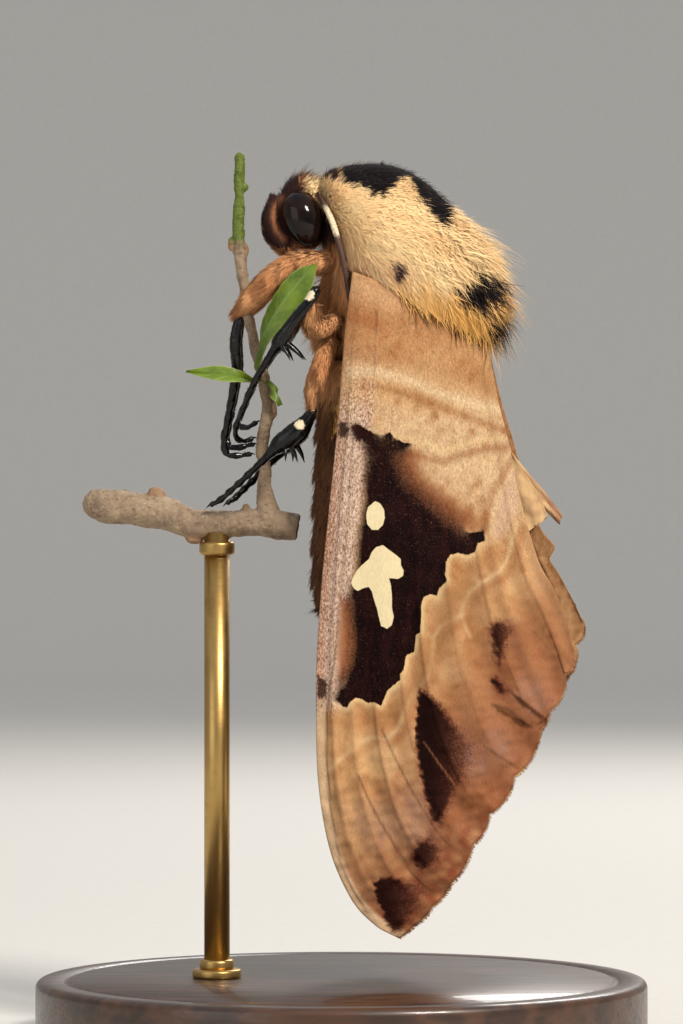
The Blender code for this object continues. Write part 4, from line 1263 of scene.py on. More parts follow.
@dataclass
class Forewing(Wing):
    """A forewing, with its markings as lines and outlines on the side drawing."""

    costa: Line = (
        (1.1, 77.4), (0.35, 71.5), (-0.35, 62.5), (-1.15, 54.5), (-1.95, 46.5), (-2.45, 39.5),
        (-2.55, 34.5), (-2.35, 26.5), (-1.15, 19.5), (1.05, 14.5), (3.35, 12.0), (5.65, 10.7))
    margin: Line = (
        (5.65, 10.7), (7.4, 12.1), (9.1, 13.9), (10.8, 16.0), (12.5, 19.0), (14.2, 22.3), (16.8, 26.2),
        (19.2, 30.3), (21.2, 34.2), (22.5, 37.2), (23.2, 39.4))
    inner: Line = (
        (14.0, 72.6), (15.0, 68.9), (15.85, 64.5), (16.85, 60.5), (17.85, 55.5), (19.05, 51.0),
        (20.1, 47.9), (21.5, 45.4), (22.7, 42.2), (23.2, 39.4))
    far_margin_end: Line = ((21.6, 35.0), (23.3, 38.6), (24.3, 42.6))
    far_inner: Line = (
        (14.0, 72.6), (15.2, 68.9), (16.3, 64.5), (17.5, 60.5), (18.9, 55.5), (20.3, 51.6), (21.7, 49.8),
        (21.2, 48.6), (22.2, 46.9), (23.3, 44.8), (24.3, 42.6))
    vein_ends: Row = (0.0, 0.06, 0.134, 0.227, 0.353, 0.457, 0.588, 0.745, 0.81, 0.926, 1.0)
    vein_starts: Row = (0.0, 0.1, 0.62, 0.55, 0.5, 0.48, 0.45, 0.38, 0.33, 0.06, 0.0)
    lobes: Row = (0.1, 0.15, 0.2, 0.35, 0.55, 0.6, 0.75, 0.35, 0.7, 0.7)
    pleats: Row = (0.0, 0.12, -0.2, 0.26, -0.28, 0.32, -0.34, 0.42, -0.36, 0.18)
    rows: int = 230
    columns: int = 176
    patch: Line = (
        (352, 427), (358, 424), (366, 429), (374, 433), (381, 436), (390, 432), (394, 438), (405, 443),
        (414, 443), (408, 448), (407, 452), (400, 458), (402, 466), (405, 474), (412, 484), (421, 493),
        (430, 500), (445, 514), (460, 526), (468, 533), (478, 532), (484, 530), (485, 541), (478, 543),
        (475, 552), (468, 555), (458, 553), (450, 555), (446, 562), (445, 575), (447, 580), (443, 585),
        (439, 588), (437, 596), (430, 594), (424, 597), (421, 604), (421, 620), (420, 632), (416, 635),
        (415, 646), (414, 652), (407, 655), (405, 660), (404, 670), (400, 674), (400, 680), (394, 685),
        (388, 690), (385, 697), (381, 706), (374, 702), (368, 703), (362, 699), (355, 698), (350, 702),
        (347, 708), (342, 706), (338, 702), (334, 700), (338, 690), (342, 683), (344, 676), (350, 664),
        (352, 646), (351, 630), (349, 612), (348, 598), (351, 586), (356, 574), (358, 560), (358, 545),
        (360, 530), (363, 515), (365, 500), (364, 480), (366, 460), (363, 445), (356, 436))
    torn_edge: Line = ((398, 452), (402, 462), (405, 472), (413, 485), (430, 500), (445, 514), (460, 526))
    frayed_edge: Line = (
        (365, 480), (363, 515), (358, 545), (356, 574), (350, 592), (349, 612), (350, 640), (348, 660),
        (342, 678), (336, 692))
    dusty: Line = ((349, 604), (350, 625), (350, 645), (347, 665), (341, 680))
    cream: Sequence[Line] = (
        ((383, 545), (388, 549), (395, 554), (401, 559), (401, 565), (404, 571), (403, 576), (398, 579),
         (389, 578), (391, 585), (392, 596), (392, 608), (394, 617), (392, 625), (387, 629), (381, 626),
         (379, 618), (377, 609), (374, 600), (372, 592), (369, 587), (364, 588), (358, 591), (354, 589),
         (351, 583), (353, 577), (357, 570), (363, 564), (369, 559), (371, 553), (376, 547)),
        ((375, 501), (380, 503), (384, 509), (385, 517), (383, 525), (378, 530), (372, 530), (367, 524),
         (366, 515), (368, 507)))
    spots: Sequence[Line] = (
        ((339, 420), (347, 423), (350, 431), (346, 438), (338, 437)),
        ((350, 423), (360, 424), (364, 434), (359, 442), (351, 436)),
        ((317, 676), (326, 679), (328, 690), (326, 699), (317, 698)))
    crisp_edges: Sequence[Line] = (
        ((352, 427), (366, 429), (390, 432), (405, 443), (414, 443)),
        ((470, 531), (485, 536), (475, 552), (450, 555), (445, 575)))
    blots: Sequence[tuple[float, float, float, float, Line]] = (
        (0.9, 2.4, 0.75, 0.85, (
            (488, 628), (495, 621), (505, 620), (518, 619), (527, 624), (522, 633), (511, 640), (506, 650),
            (504, 661), (499, 670), (494, 658), (492, 645))),
        (0.7, 1.3, 0.3, 1.0, ((489, 681), (496, 676), (503, 682), (510, 691), (504, 697), (497, 691))),
        (0.5, 3.0, 0.55, 1.0, (
            (418, 687), (417, 712), (415, 730), (417, 755), (421, 775), (424, 792), (428, 806), (433, 824),
            (441, 826), (447, 812), (455, 796), (468, 781), (474, 766), (480, 752), (481, 738), (470, 734),
            (460, 726), (449, 714), (440, 704), (430, 696))),
        (0.9, 2.2, 0.35, 0.9, (
            (411, 852), (418, 841), (430, 837), (443, 845), (444, 858), (433, 870), (420, 871),
            (412, 862))),
        (0.28, 2.2, 0.45, 0.92, (
            (374, 884), (379, 878), (391, 877), (404, 880), (418, 881), (431, 884), (429, 896), (420, 908),
            (409, 921), (400, 934), (393, 934), (385, 920), (379, 905), (375, 893))))
    blot_vein: Line = ((424, 742), (440, 765), (455, 785), (464, 800))
    # Dark lines by width, strength and line: the veins, and painted shade in the creases near the margin.
    vein_and_crease_shade_lines: Sequence[tuple[float, float, Line]] = (
        (0.11, 0.7, ((377, 312), (376, 332))), (0.1, 0.35, ((376, 332), (375, 352), (374, 378))),
        (0.16, 0.45, ((356, 420), (352, 450), (350, 490), (347, 530), (343, 570), (339, 610), (336, 645))),
        (0.11, 1.0, (
            (336, 645), (333, 670), (329, 692), (327, 715), (327, 762), (331, 813), (340, 860),
            (352, 889), (366, 911))),
        (0.1, 0.85, ((382, 730), (396, 760), (412, 791), (433, 826), (446, 842), (457, 851))),
        (0.12, 0.95, ((358, 775), (368, 798), (378, 818), (396, 848), (412, 873), (422, 883), (432, 891))),
        (0.11, 0.8, ((484, 746), (500, 757), (518, 768))),
        # These three are painted shade in the creases near the margin.
        (0.2, 1.0, ((493, 705), (507, 709), (515, 715), (524, 723))),
        (0.13, 0.85, ((512, 693), (527, 706), (541, 717))),
        (0.14, 0.9, ((538, 724), (544, 721), (549, 715))),
        (0.1, 0.35, ((532, 630), (545, 645), (560, 664))), (0.1, 0.4, ((459, 795), (472, 806), (484, 813))),
        (0.07, 0.5, ((392, 410), (392, 428))), (0.07, 0.5, ((369, 412), (368, 426))))
    bands: Sequence[tuple[Colour, float, float, Line]] = (
        ((240, 206, 162), 0.85, 0.6, (
            (352, 371), (377, 372), (408, 380), (437, 393), (467, 402), (503, 411))),
        ((172, 112, 66), 0.6, 0.5, (
            (366, 384), (381, 387), (402, 393), (425, 401), (445, 409), (468, 417), (496, 428))),
        ((172, 110, 68), 0.4, 0.9, ((345, 352), (390, 358), (440, 371), (492, 386))),
        ((226, 184, 140), 0.6, 1.1, ((342, 402), (366, 408), (392, 418))),
        ((240, 204, 152), 0.62, 0.3, (
            (394, 435), (412, 441), (430, 447), (443, 452), (455, 446), (467, 442), (480, 440),
            (503, 437))),
        # Painted shadow below the pale crest line above.
        ((166, 104, 60), 0.6, 0.42, (
            (410, 453), (425, 458), (443, 462), (458, 456), (480, 450), (506, 447))),
        ((168, 98, 52), 0.7, 1.3, ((408, 458), (412, 472), (422, 486), (440, 500), (458, 515), (472, 525))),
        ((224, 178, 124), 0.6, 1.8, ((345, 850), (370, 845), (392, 872))),
        ((172, 116, 74), 0.5, 1.8, ((475, 600), (485, 625), (470, 650))),
        ((172, 122, 80), 0.75, 1.1, ((456, 598), (444, 636), (428, 668), (404, 704), (380, 726))),
        ((226, 176, 124), 0.5, 1.2, ((343, 780), (343, 830), (356, 880))),
        # Painted light: lightens the wing base under the coat's lower edge, where the coat shades it.
        ((232, 184, 136), 0.7, 1.3, ((352, 283), (372, 290), (392, 300))),
        ((228, 174, 118), 0.4, 2.2, ((350, 745), (366, 790), (374, 835))),
        ((224, 178, 132), 0.55, 1.2, ((535, 556), (552, 588), (566, 620), (568, 655), (556, 690))),
        ((126, 68, 44), 0.6, 1.3, ((520, 636), (515, 662), (502, 692))),
        ((224, 158, 112), 0.6, 0.9, ((336, 560), (330, 620), (326, 670))),
        ((170, 116, 76), 0.35, 0.6, ((333, 795), (350, 790), (372, 782), (395, 800), (420, 815))))
    # Pale lines, each with a darker copy shifted by the given amounts. Beside the tooth's edge the copy is the
    # brown of its scales; beside the two scalloped crest lines it is painted shadow.
    scallops: Sequence[tuple[float, float, Line]] = (
        (-6, -1, (
            (519, 460), (512, 471), (506, 483), (500, 491), (497, 501), (494, 512), (492, 523),
            (489, 535))),
        (7, 4, (
            (516, 524), (511, 545), (507, 560), (500, 571), (490, 578), (479, 584), (470, 592),
            (464, 602), (461, 612), (464, 624), (470, 636))),
        (7, 4, (
            (463, 614), (450, 621), (440, 627), (434, 637), (433, 650), (431, 664), (427, 678),
            (418, 689), (409, 700), (404, 712), (400, 724), (394, 733), (385, 739), (373, 737),
            (362, 742), (352, 749), (342, 757), (330, 769))))
    wedge: Line = (
        (502, 440), (512, 462), (506, 480), (499, 495), (494, 520), (491, 536), (501, 542), (513, 522),
        (521, 500), (521, 480), (516, 460), (509, 440))
    dark_middle: Line = ((436, 690), (560, 560), (585, 640), (560, 740), (500, 800), (440, 840), (440, 740))
    brown_bay: Line = ((340, 596), (352, 600), (358, 640), (355, 668), (341, 684), (337, 660))
    # Spots of painted sheen, by place and radius.
    sheen_spots: Line = (
        (530, 690, 1.6), (497, 740, 1.5), (455, 742, 1.6), (412, 800, 1.8), (470, 760, 1.3),
        (418, 835, 1.4), (372, 820, 2.0))
    creases: Sequence[Line] = (((493, 705), (526, 724)), ((508, 690), (546, 719)))
    crease_height: float = 0.42
    crease_width: float = 2.6
    crease_y: float = 5.0
    costa_y: float = 7.5

    def __post_init__(self) -> None:
        """Gives the right wing its own hind corner, which stands higher than the left wing's."""
        if self.side > 0:
            self.margin = tuple(self.margin[:-3]) + tuple(self.far_margin_end)
            self.inner = self.far_inner

    def tuck(self, x: Array, z: Array) -> Array:
        """Lifts the blade above its two short creases near the margin.

        Args:
            x, z: Places along X and Z.

        Returns:
            How far each place is lifted.
        """
        places = on_drawing(np.column_stack([x.ravel(), np.full(x.size, self.crease_y), z.ravel()]))
        lift = np.zeros(x.size)
        for start, end in np.array(self.creases, float):
            length = np.linalg.norm(end - start)
            way, off = (end - start) / length, places - start
            beside = (off[:, 0] * way[1] - off[:, 1] * way[0]) / DRAWN_PER_MM
            share = (off @ way) / length
            inside = step(share, -0.1, 0.35) * step(1.25 - share, 0.0, 0.2)
            fall = np.clip(1 - beside / self.crease_width, 0.0, 1.0) ** 2
            lift += self.crease_height * inside * np.where(beside > 0, fall, 0.0)
        return lift.reshape(x.shape)

    def tone(self, blade: Shape, places: Array, depth: Array, from_costa: Array) -> Array:
        """Lays down the wing's soft colours.

        Args:
            blade: The blade.
            places: Its points on the drawing.
            depth: How deep each lies in the dark patch.
            from_costa: How far each lies from the front edge.

        Returns:
            A colour for each point.
        """
        right, down = places.T
        u, under, rib = (blade.marks[name] for name in ("u", "under", "rib"))
        cloud, mottle = (waves(places / DRAWN_PER_MM, size, seed) for size, seed in ((7.0, 3), (2.2, 4)))
        # Painted sheen in spots near the margin.
        bloom = sum(near(places, ((x, y), (x + 6, y + 9)), size) for x, y, size in self.sheen_spots)
        rim, low = step(down, 520, 560), 0.35 + 0.65 * step(down, 600, 720)
        strip = step(down, 395, 430) * step(from_costa, 3.7, 2.6) * step(down, 716, 690)
        layers = [
            ((225, 180, 130), 0.5 + 0.5 * cloud),
            ((242, 208, 164), 0.6 * step(down, 390, 425) * step(down, 560, 490)),
            ((178, 118, 72), 0.35 * mottle - 0.2 * cloud),
            ((184, 122, 78), step(down, 372, 325) * (0.65 + 0.35 * cloud)),
            ((228, 190, 158), 0.7 * step(depth_inside(places, self.wedge), -0.4, 0.5)),
            ((178, 116, 68), 0.5 * rim * np.exp(-((depth + 1.5) / 0.9) ** 2)),
            ((244, 208, 152), 0.8 * rim * np.exp(-((depth + 0.12) / 0.3) ** 2))]
        # Painted shadow beside the scalloped crest lines, and the brown beside the tooth's edge.
        for x, y, line in self.scallops:
            layers += [((168, 106, 64), 0.52 * near(places, np.array(line) + (x, y), 0.5)),
                       ((242, 207, 158), 0.61 * near(places, line, 0.21))]
        layers += [(colour, strength * near(places, line, width))
                   for colour, strength, width, line in self.bands]
        layers += [
            ((146, 82, 55), (0.85 + 0.15 * mottle) * step(u, 0.7, 1.0) * low),
            ((160, 100, 66), 0.7 * step(depth_inside(places, self.dark_middle), -2.0, 2.5)),
            # Painted sheen.
            ((170, 134, 118), 0.5 * bloom * (0.7 + 0.3 * mottle)),
            ((224, 190, 166), 0.85 * strip),
            ((208, 140, 98), 0.6 * step(from_costa, 1.2, 0.4) * strip),
            ((186, 112, 62), 0.8 * step(depth_inside(places, self.brown_bay), -0.3, 0.4)),
            ((232, 196, 156), 0.8 * step(from_costa, 1.15, 0.75) * step(down, 690, 716)),
            ((208, 150, 104), 0.35 * step(right, 500, 540) * step(down, 640, 560)),
            ((150, 96, 62), 0.22 * rib * (1 - under))]
        tone = plain(len(places), (208, 156, 106))
        for colour, mask in layers:
            tone = tinted(tone, colour, mask)
        # Painted light and shade: each pleat lighter on one slope and darker on the other, and the wing lighter
        # towards its lower end.
        shade = 0.2 * blade.marks["slope"] * step(u, 0.4, 0.8) + 0.12 * step(down, 560, 700)
        tone = tone * (1 + shade)[:, None]
        lining = tinted(plain(len(places), (196, 142, 96)), (214, 164, 116), 0.5 + 0.5 * cloud)
        lining = tinted(lining, (162, 104, 66), 0.45 * np.abs(mottle) + 0.3 * rib)
        return tone + (lining - tone) * under[:, None]

    def marked(self, blade: Shape) -> Shape:
        """Adds the markings to the blade.

        Args:
            blade: The blade.

        Returns:
            The blade with its tones and its distances to the crisp markings.
        """
        places = on_drawing(blade.points)
        down = places[:, 1]
        above = blade.marks["under"] < 0.5
        depth = depth_inside(places, self.patch)
        blot = np.zeros(len(places))
        shifts = [waves(places / DRAWN_PER_MM, 0.9, seed) for seed in (14, 15)]
        uneven = places + 1.5 * np.column_stack(shifts)
        for sharp, blurred, fade, strength, outline in self.blots:
            corners = np.array(outline)
            share = np.clip((places[:, 0] - corners[:, 0].min()) / np.ptp(corners[:, 0]), 0.0, 1.0)
            soft = sharp + (blurred - sharp) * share ** 1.5
            inside = strength * np.clip(0.5 + depth_inside(uneven, outline) / soft, 0.0, 1.0)
            blot = np.maximum(blot, inside * (1 - fade * step(share, 0.1, 1.0)))
        blot *= 1 - 0.5 * near(places, self.blot_vein, 0.1)
        # Veins, and painted shade in the creases near the margin.
        veins = np.max([strength * near(places, line, width)
                        for width, strength, line in self.vein_and_crease_shade_lines], axis=0)
        costa = np.insert(smooth(self.costa, 60), 1, self.costa_y, axis=1)
        from_costa = distance(places, on_drawing(costa))
        reach, lengthwise = 3.8 - 1.5 * step(down, 585, 612), step(down, 330, 420) * step(down, 725, 700)
        crisp = np.max([near(places, line, 0.9) for line in self.crisp_edges], axis=0)
        torn = [near(places, self.torn_edge, 3.4) * (1 - crisp), 0.36 * near(places, self.frayed_edge, 0.9),
                0.75 * near(places, self.dusty, 1.1)]
        return Shape(blade.points, blade.faces, {
            "tone": self.tone(blade, places, depth, from_costa),
            "patch": np.where(above, np.clip(depth, -3, 3), -3.0),
            "torn": np.max(torn, axis=0),
            "cream": np.where(above, deepest(places, self.cream), -3.0),
            "dots": np.where(above, deepest(places, self.spots), -3.0),
            "blot": blot * above,
            "vein": veins * above,
            "costal": above * lengthwise * step(from_costa, reach, reach - 0.6)})

    def make(self) -> None:
        """Builds the wing and its fringe."""
        blade, word = self.blade(), SIDES[self.side]
        piece = self.marked(blade).build(f"forewing_scales_{word}", Finishes.WING)
        deliver(piece, "wing_scales", [f"forewing_{word}"])
        hairs = self.fringe(blade, 0.94)
        pale = 0.5 + 0.5 * waves(on_drawing(hairs.points) / DRAWN_PER_MM, 3.0, 9)
        hairs.marks = {"tone": tinted(plain(len(pale), (172, 112, 78)), (226, 180, 130), pale)}
        deliver(hairs.build(f"forewing_fringe_{word}", Finishes.HINDWING), "wing_scales")


@dataclass
class Hindwing(Wing):
    """A hindwing, folded under the forewing, with the pleated flap of its inner edge."""

    costa: Line = ((3.8, 70.8), (1.7, 62.0), (0.9, 52.0), (1.5, 44.0), (4.2, 37.6))
    margin: Line = ((4.2, 37.6), (9.0, 37.2), (13.6, 41.2), (17.2, 46.6), (19.6, 51.0))
    inner: Line = ((11.6, 70.2), (14.4, 67.0), (16.2, 62.6), (17.6, 58.4), (19.2, 54.6), (19.6, 51.0))
    vein_ends: Row = (0.0, 0.2, 0.42, 0.62, 0.82, 1.0)
    vein_starts: Row = (0.0, 0.4, 0.4, 0.35, 0.2, 0.0)
    lobes: Row = (0.5, 0.6, 0.6, 0.5, 0.2)
    pleats: Row = (0.0, 0.0, 0.0, 0.0, 0.0)
    rows: int = 60
    columns: int = 52
    inset: float = 1.25
    left_flap: Line = ((16.4, 58.9, 0.9), (17.6, 56.2, 1.4), (18.8, 54.0, 1.5), (19.9, 52.0, 1.2))
    right_flap: Line = ((16.6, 59.6, 0.45), (18.4, 57.0, 0.65), (20.2, 54.9, 0.65), (22.3, 52.5, 0.45))
    flap_y: float = 1.2
    flap_thickness: float = 0.22

    def flap(self) -> Shape:
        """Makes the pleated flap.

        Returns:
            The closed flap, a pleated ribbon with a torn end.
        """
        rows, columns = 70, 31
        path = smooth(self.left_flap if self.side < 0 else self.right_flap, rows)
        along = unit(np.gradient(path[:, :2], axis=0))
        shares, run = np.linspace(-1.0, 1.0, columns)[None], np.linspace(0.0, 1.0, rows)[:, None]
        laid = np.column_stack([np.tile(shares[0], rows), 4 * np.repeat(run, columns)])
        uneven = waves(laid, 1.3, 6, 2).reshape(rows, columns)
        pleat = 0.13 * np.cos(shares * math.pi * 1.2 + 0.6) * step(run, 0.0, 0.3)
        pleat = pleat + 0.06 * uneven + 0.3 * shares ** 2
        torn = 0.45 * uneven * step(run, 0.86, 1.0)
        line = np.insert(path[:, :2], 1, self.flap_y * self.side, axis=1)
        middle = line[:, None] + np.insert(along, 1, 0.0, axis=1)[:, None] * torn[..., None]
        across = np.column_stack([along[:, 1], np.zeros(rows), -along[:, 0]])
        half = self.flap_thickness / 2 * (1 - 0.6 * np.abs(shares))
        face = np.array([[0.0, self.side, 0.0]])
        return ribbon(middle, across, shares * path[:, 2:], face, pleat, (half, half))

    def make(self) -> None:
        """Builds the blade and its pleated flap."""
        blade, flap, word = self.blade(), self.flap(), SIDES[self.side]
        whole = joined([blade, flap])
        cloud = waves(whole.points, 4.0, 8)
        outer = np.append(step(blade.marks["u"], 0.6, 1.0), np.zeros(len(flap.points)))
        fresh = np.append(np.zeros(len(blade.points)), np.ones(len(flap.points)))
        worn = fresh * step(whole.points[:, 0], 20.4, 22.0) + 0.5 * fresh * step(cloud, 0.1, 0.6)
        tone = plain(len(cloud), (208, 156, 108))
        for colour, mask in (((156, 104, 70), 0.5 + 0.5 * cloud), ((118, 70, 48), 0.6 * outer),
                             ((252, 208, 152), 0.9 * fresh), ((184, 132, 104), 0.8 * worn)):
            tone = tinted(tone, colour, mask)
        whole.marks = {"tone": tone}
        piece = whole.build(f"hindwing_scales_{word}", Finishes.HINDWING)
        deliver(piece, "wing_scales", [f"hindwing_{word}"])


# Legs, body and coat

@dataclass(frozen=True)
class Leg:
    """The left leg of a pair: upper leg, shank with foot, spurs and cream knee."""

    femur: Line
    shank: Line
    knee: Row
    right_shift: Row
    spurs: Sequence[tuple[Row, Row, float]] = ()
    fur_length: float = 1.3
    fur_drop: float = 0.35


class Legs(Enum):
    """The three pairs."""

    fore = Leg(
        ((-1.2, -2.6, 78.6, 1.1), (-4.2, -3.4, 78.5, 1.25), (-6.8, -4.0, 77.0, 1.3),
         (-9.0, -4.3, 74.8, 1.2), (-10.1, -4.3, 73.7, 0.85)),
        ((-10.3, -4.25, 72.95, 0.45), (-10.7, -3.9, 70.4, 0.58), (-10.6, -3.3, 67.8, 0.5),
         (-11.1, -2.3, 64.5, 0.42), (-11.6, -1.5, 62.0, 0.4), (-11.9, -0.95, 60.3, 0.38),
         (-11.6, -0.75, 59.2, 0.34), (-10.6, -0.65, 59.0, 0.3), (-9.4, -0.6, 59.15, 0.26)),
        (-10.3, -4.25, 73.3, 0.4), (0.3, 0.5, 1.0))
    mid = Leg(
        ((-0.4, -4.1, 72.6, 0.95), (-1.9, -5.8, 71.9, 1.2), (-3.0, -6.7, 72.5, 1.2),
         (-2.7, -7.3, 73.8, 0.75)),
        ((-2.6, -8.1, 75.35, 0.55), (-3.3, -8.5, 74.2, 0.5), (-4.6, -8.6, 72.5, 0.62),
         (-6.1, -8.0, 70.4, 0.75), (-7.0, -7.4, 69.1, 0.4), (-8.9, -5.8, 66.0, 0.33),
         (-10.1, -3.9, 63.2, 0.3), (-10.7, -2.6, 61.6, 0.29), (-10.5, -1.7, 60.7, 0.28),
         (-9.8, -1.1, 60.5, 0.27), (-9.2, -0.8, 60.7, 0.26)),
        (-3.3, -8.9, 75.0, 0.75), (0.4, -0.3, 1.6),
        (((-5.6, -8.0, 70.2), (-3.8, -8.3, 68.5), 0.32), ((-6.0, -8.2, 69.9), (-5.1, -8.7, 68.4), 0.26)),
        0.75, 2.2)
    hind = Leg(
        ((-1.0, -3.2, 70.6, 1.0), (-1.9, -4.8, 68.3, 1.1), (-2.7, -5.8, 66.0, 1.0),
         (-2.95, -6.2, 64.3, 0.7)),
        ((-2.95, -6.3, 63.4, 0.5), (-3.7, -6.3, 62.4, 0.6), (-4.7, -6.2, 61.3, 0.95),
         (-6.2, -5.7, 60.1, 0.9), (-7.3, -5.1, 59.0, 0.45), (-9.0, -3.9, 57.4, 0.36),
         (-11.0, -2.4, 55.6, 0.32), (-12.3, -1.3, 54.5, 0.3), (-13.1, -0.9, 54.1, 0.26)),
        (-4.2, -6.8, 62.0, 0.65), (1.6, 0.4, 0.2),
        (((-5.1, -5.9, 59.9), (-4.4, -6.1, 58.3), 0.3), ((-5.7, -6.0, 59.8), (-5.6, -6.6, 58.4), 0.25)))


@dataclass
class Shank:
    """A black shank and foot, with spurs, thorns, claws and a cream knee."""

    leg: Legs
    side: int
    claw_length: float = 0.75
    claw_radius: float = 0.16
    rings: int = 110
    sides: int = 22
    joints: int = 11

    def thorn(self, root: Array, tip: Array, radius: float, hook: Row) -> Shape:
        """A bent spike that narrows from root to tip."""
        middle = (root + tip) / 2 + np.array(hook)
        return tube([(*root, radius), (*middle, radius * 0.7), (*tip, radius * 0.12)], 12, 10)

    def make(self) -> None:
        """Builds the limb. A right foot stands a little apart from its left one's mirror image."""
        left, word = self.leg.value, SIDES[self.side]
        line = np.array(on_side(left.shank, self.side))
        shift = np.array(left.right_shift) * (self.side > 0)
        line[:, :3] += shift * np.linspace(0.0, 1.0, len(line))[:, None]
        limb = tube(line, self.rings, self.sides)
        run = np.linspace(0.0, 1.0, len(limb.points) // self.sides).repeat(self.sides)
        run = np.append(run, (0.0, 1.0))
        knuckles = 0.05 * np.cos(run * 2 * math.pi * self.joints) * step(run, 0.5, 0.62)
        limb = limb.raised(knuckles + 0.035 * waves(limb.points, 0.7, 41))
        end = line[-1, :3]
        along = unit(end - line[-2, :3])
        parts = [limb]
        for spread in (-1.0, 1.0):
            tip = end + unit(along + np.array((0.0, 0.55 * spread, -0.15))) * self.claw_length
            parts.append(self.thorn(end - along * 0.15, tip, self.claw_radius, (0.0, 0.05 * spread, 0.1)))
        for root, tip, radius in left.spurs:
            ends = np.array(on_side([root, tip], self.side)) + shift * 3 / (len(line) - 1)
            parts.append(self.thorn(*ends, radius, (0.05, 0.0, 0.08)))
        parts.append(over_surface(limb, 1.3, 0.24, 0.045, 0.8, Finishes.LEG))
        whole = joined(parts)
        *knee, size = on_side([left.knee], self.side)[0]
        whole.marks = {"knee": np.exp(-(np.linalg.norm(whole.points - knee, axis=1) / size) ** 2)}
        piece = whole.build(f"leg_{self.leg.name}_{word}", Finishes.LEG)
        deliver(piece, "leg_black", [f"shank_{self.leg.name}_{word}"])


@dataclass
class Markings:
    """The colours of skin and coat, as outlines on the side drawing."""

    cream: Line = (
        (298, 176), (305, 186), (316, 198), (320, 207), (329, 214), (335, 224), (338, 236), (341, 250),
        (350, 268), (352, 285), (349, 300), (346, 330), (341, 380), (335, 430), (640, 430), (640, 100),
        (330, 140), (320, 174))
    blacks: Sequence[Line] = (
        ((336, 140), (338, 177), (344, 184), (352, 187), (360, 186), (366, 191), (371, 196), (380, 196),
         (386, 192), (391, 185), (399, 179), (405, 178), (411, 184), (416, 195), (424, 205), (431, 216),
         (438, 227), (445, 225), (452, 213), (450, 199), (443, 188), (438, 170), (434, 140)),
        ((454, 290), (464, 282), (478, 276), (494, 273), (506, 281), (505, 296), (490, 300), (477, 305),
         (464, 303), (455, 297)),
        ((484, 313), (492, 306), (505, 310), (514, 320), (509, 335), (492, 337), (485, 327)))
    head: Line = (
        (250, 140), (336, 140), (342, 184), (330, 181), (300, 179), (304, 185), (311, 192), (320, 207),
        (329, 214), (335, 224), (338, 236), (333, 247), (322, 243), (312, 254), (296, 250), (282, 250),
        (262, 246), (252, 200))
    face_bands: Sequence[tuple[float, Line]] = (
        (0.3, ((281, 200), (275, 208), (273, 219), (277, 231), (284, 240))),
        (0.24, ((288, 214), (290, 226), (296, 238))), (0.35, ((296, 246), (312, 249), (330, 243))))
    bare: Line = (
        (349, 276), (372, 280), (394, 288), (416, 303), (442, 313), (472, 319), (503, 326), (640, 332),
        (640, 440), (349, 440))
    # A gap in the fur, painted dark as the shade inside it.
    nick: Line = ((391, 260), (404, 262), (401, 269), (398, 279), (392, 277))
    # Painted shade along a fold in the coat.
    fold_shade: Line = ((345, 262), (362, 268), (395, 272))

    def at(self, points: Array, ragged: float) -> Array:
        """Colours places on the body.

        Args:
            points: Places on or over the skin.
            ragged: How unevenly the outlines run, in millimetres.

        Returns:
            A colour for each.
        """
        places, count = on_drawing(points), len(points)
        right, down = places.T
        uneven = ragged * waves(points, 0.8, 17) * 0.6
        streak, cloud = waves(points * (1.0, 1.0, 0.22), 1.5, 12), waves(points, 5.0, 13)
        tone = tinted(plain(count, (196, 134, 88)), (222, 162, 112), 0.4 + 0.4 * cloud)
        tone = tinted(tone, (112, 70, 46), 0.6 * step(streak, 0.2, 0.8))
        # Painted shade: the abdomen nearly black low down, where it lies in shadow beside the wings.
        tone = tinted(tone, (58, 34, 24), 0.85 * step(down + 10 * streak, 372, 425) * step(right, 300, 312))
        coat = tinted(plain(count, (250, 214, 160)), (238, 192, 136), 0.35 + 0.35 * cloud)
        coat = tinted(coat, (236, 190, 136), 0.6 * step(right, 372, 338) * step(down, 200, 240))
        # Orange-tan hair low on the coat, its own colour, made lighter as painted light where the coat faces down
        # and away from the lamps.
        coat = tinted(coat, (255, 184, 98), 0.9 * step(down + 14 * cloud, 276, 325))
        # Painted shade along a fold in the coat.
        coat = tinted(coat, (226, 172, 130), 0.5 * near(places, self.fold_shade, 1.2))
        face = plain(count, (52, 32, 30))
        for width, band in self.face_bands:
            face = tinted(face, (150, 98, 68), near(places, band, width))
        for over, outline, soft in ((coat, self.cream, 0.25), (face, self.head, 0.2)):
            tone = tone + (over - tone) * step(depth_inside(places, outline) + uneven, -soft, soft)[:, None]
        for outline in self.blacks:
            tone = tinted(tone, (20, 16, 18), step(depth_inside(places, outline) + uneven, -0.15, 0.15))
        # Painted shade in the gap in the fur.
        return tinted(tone, (60, 40, 48), step(depth_inside(places, self.nick), -0.1, 0.1))

    def brown(self, points: Array) -> Array:
        """How far places lie outside the cream coat, from 0 to 1."""
        return step(depth_inside(on_drawing(points), self.cream), 0.8, -0.8)


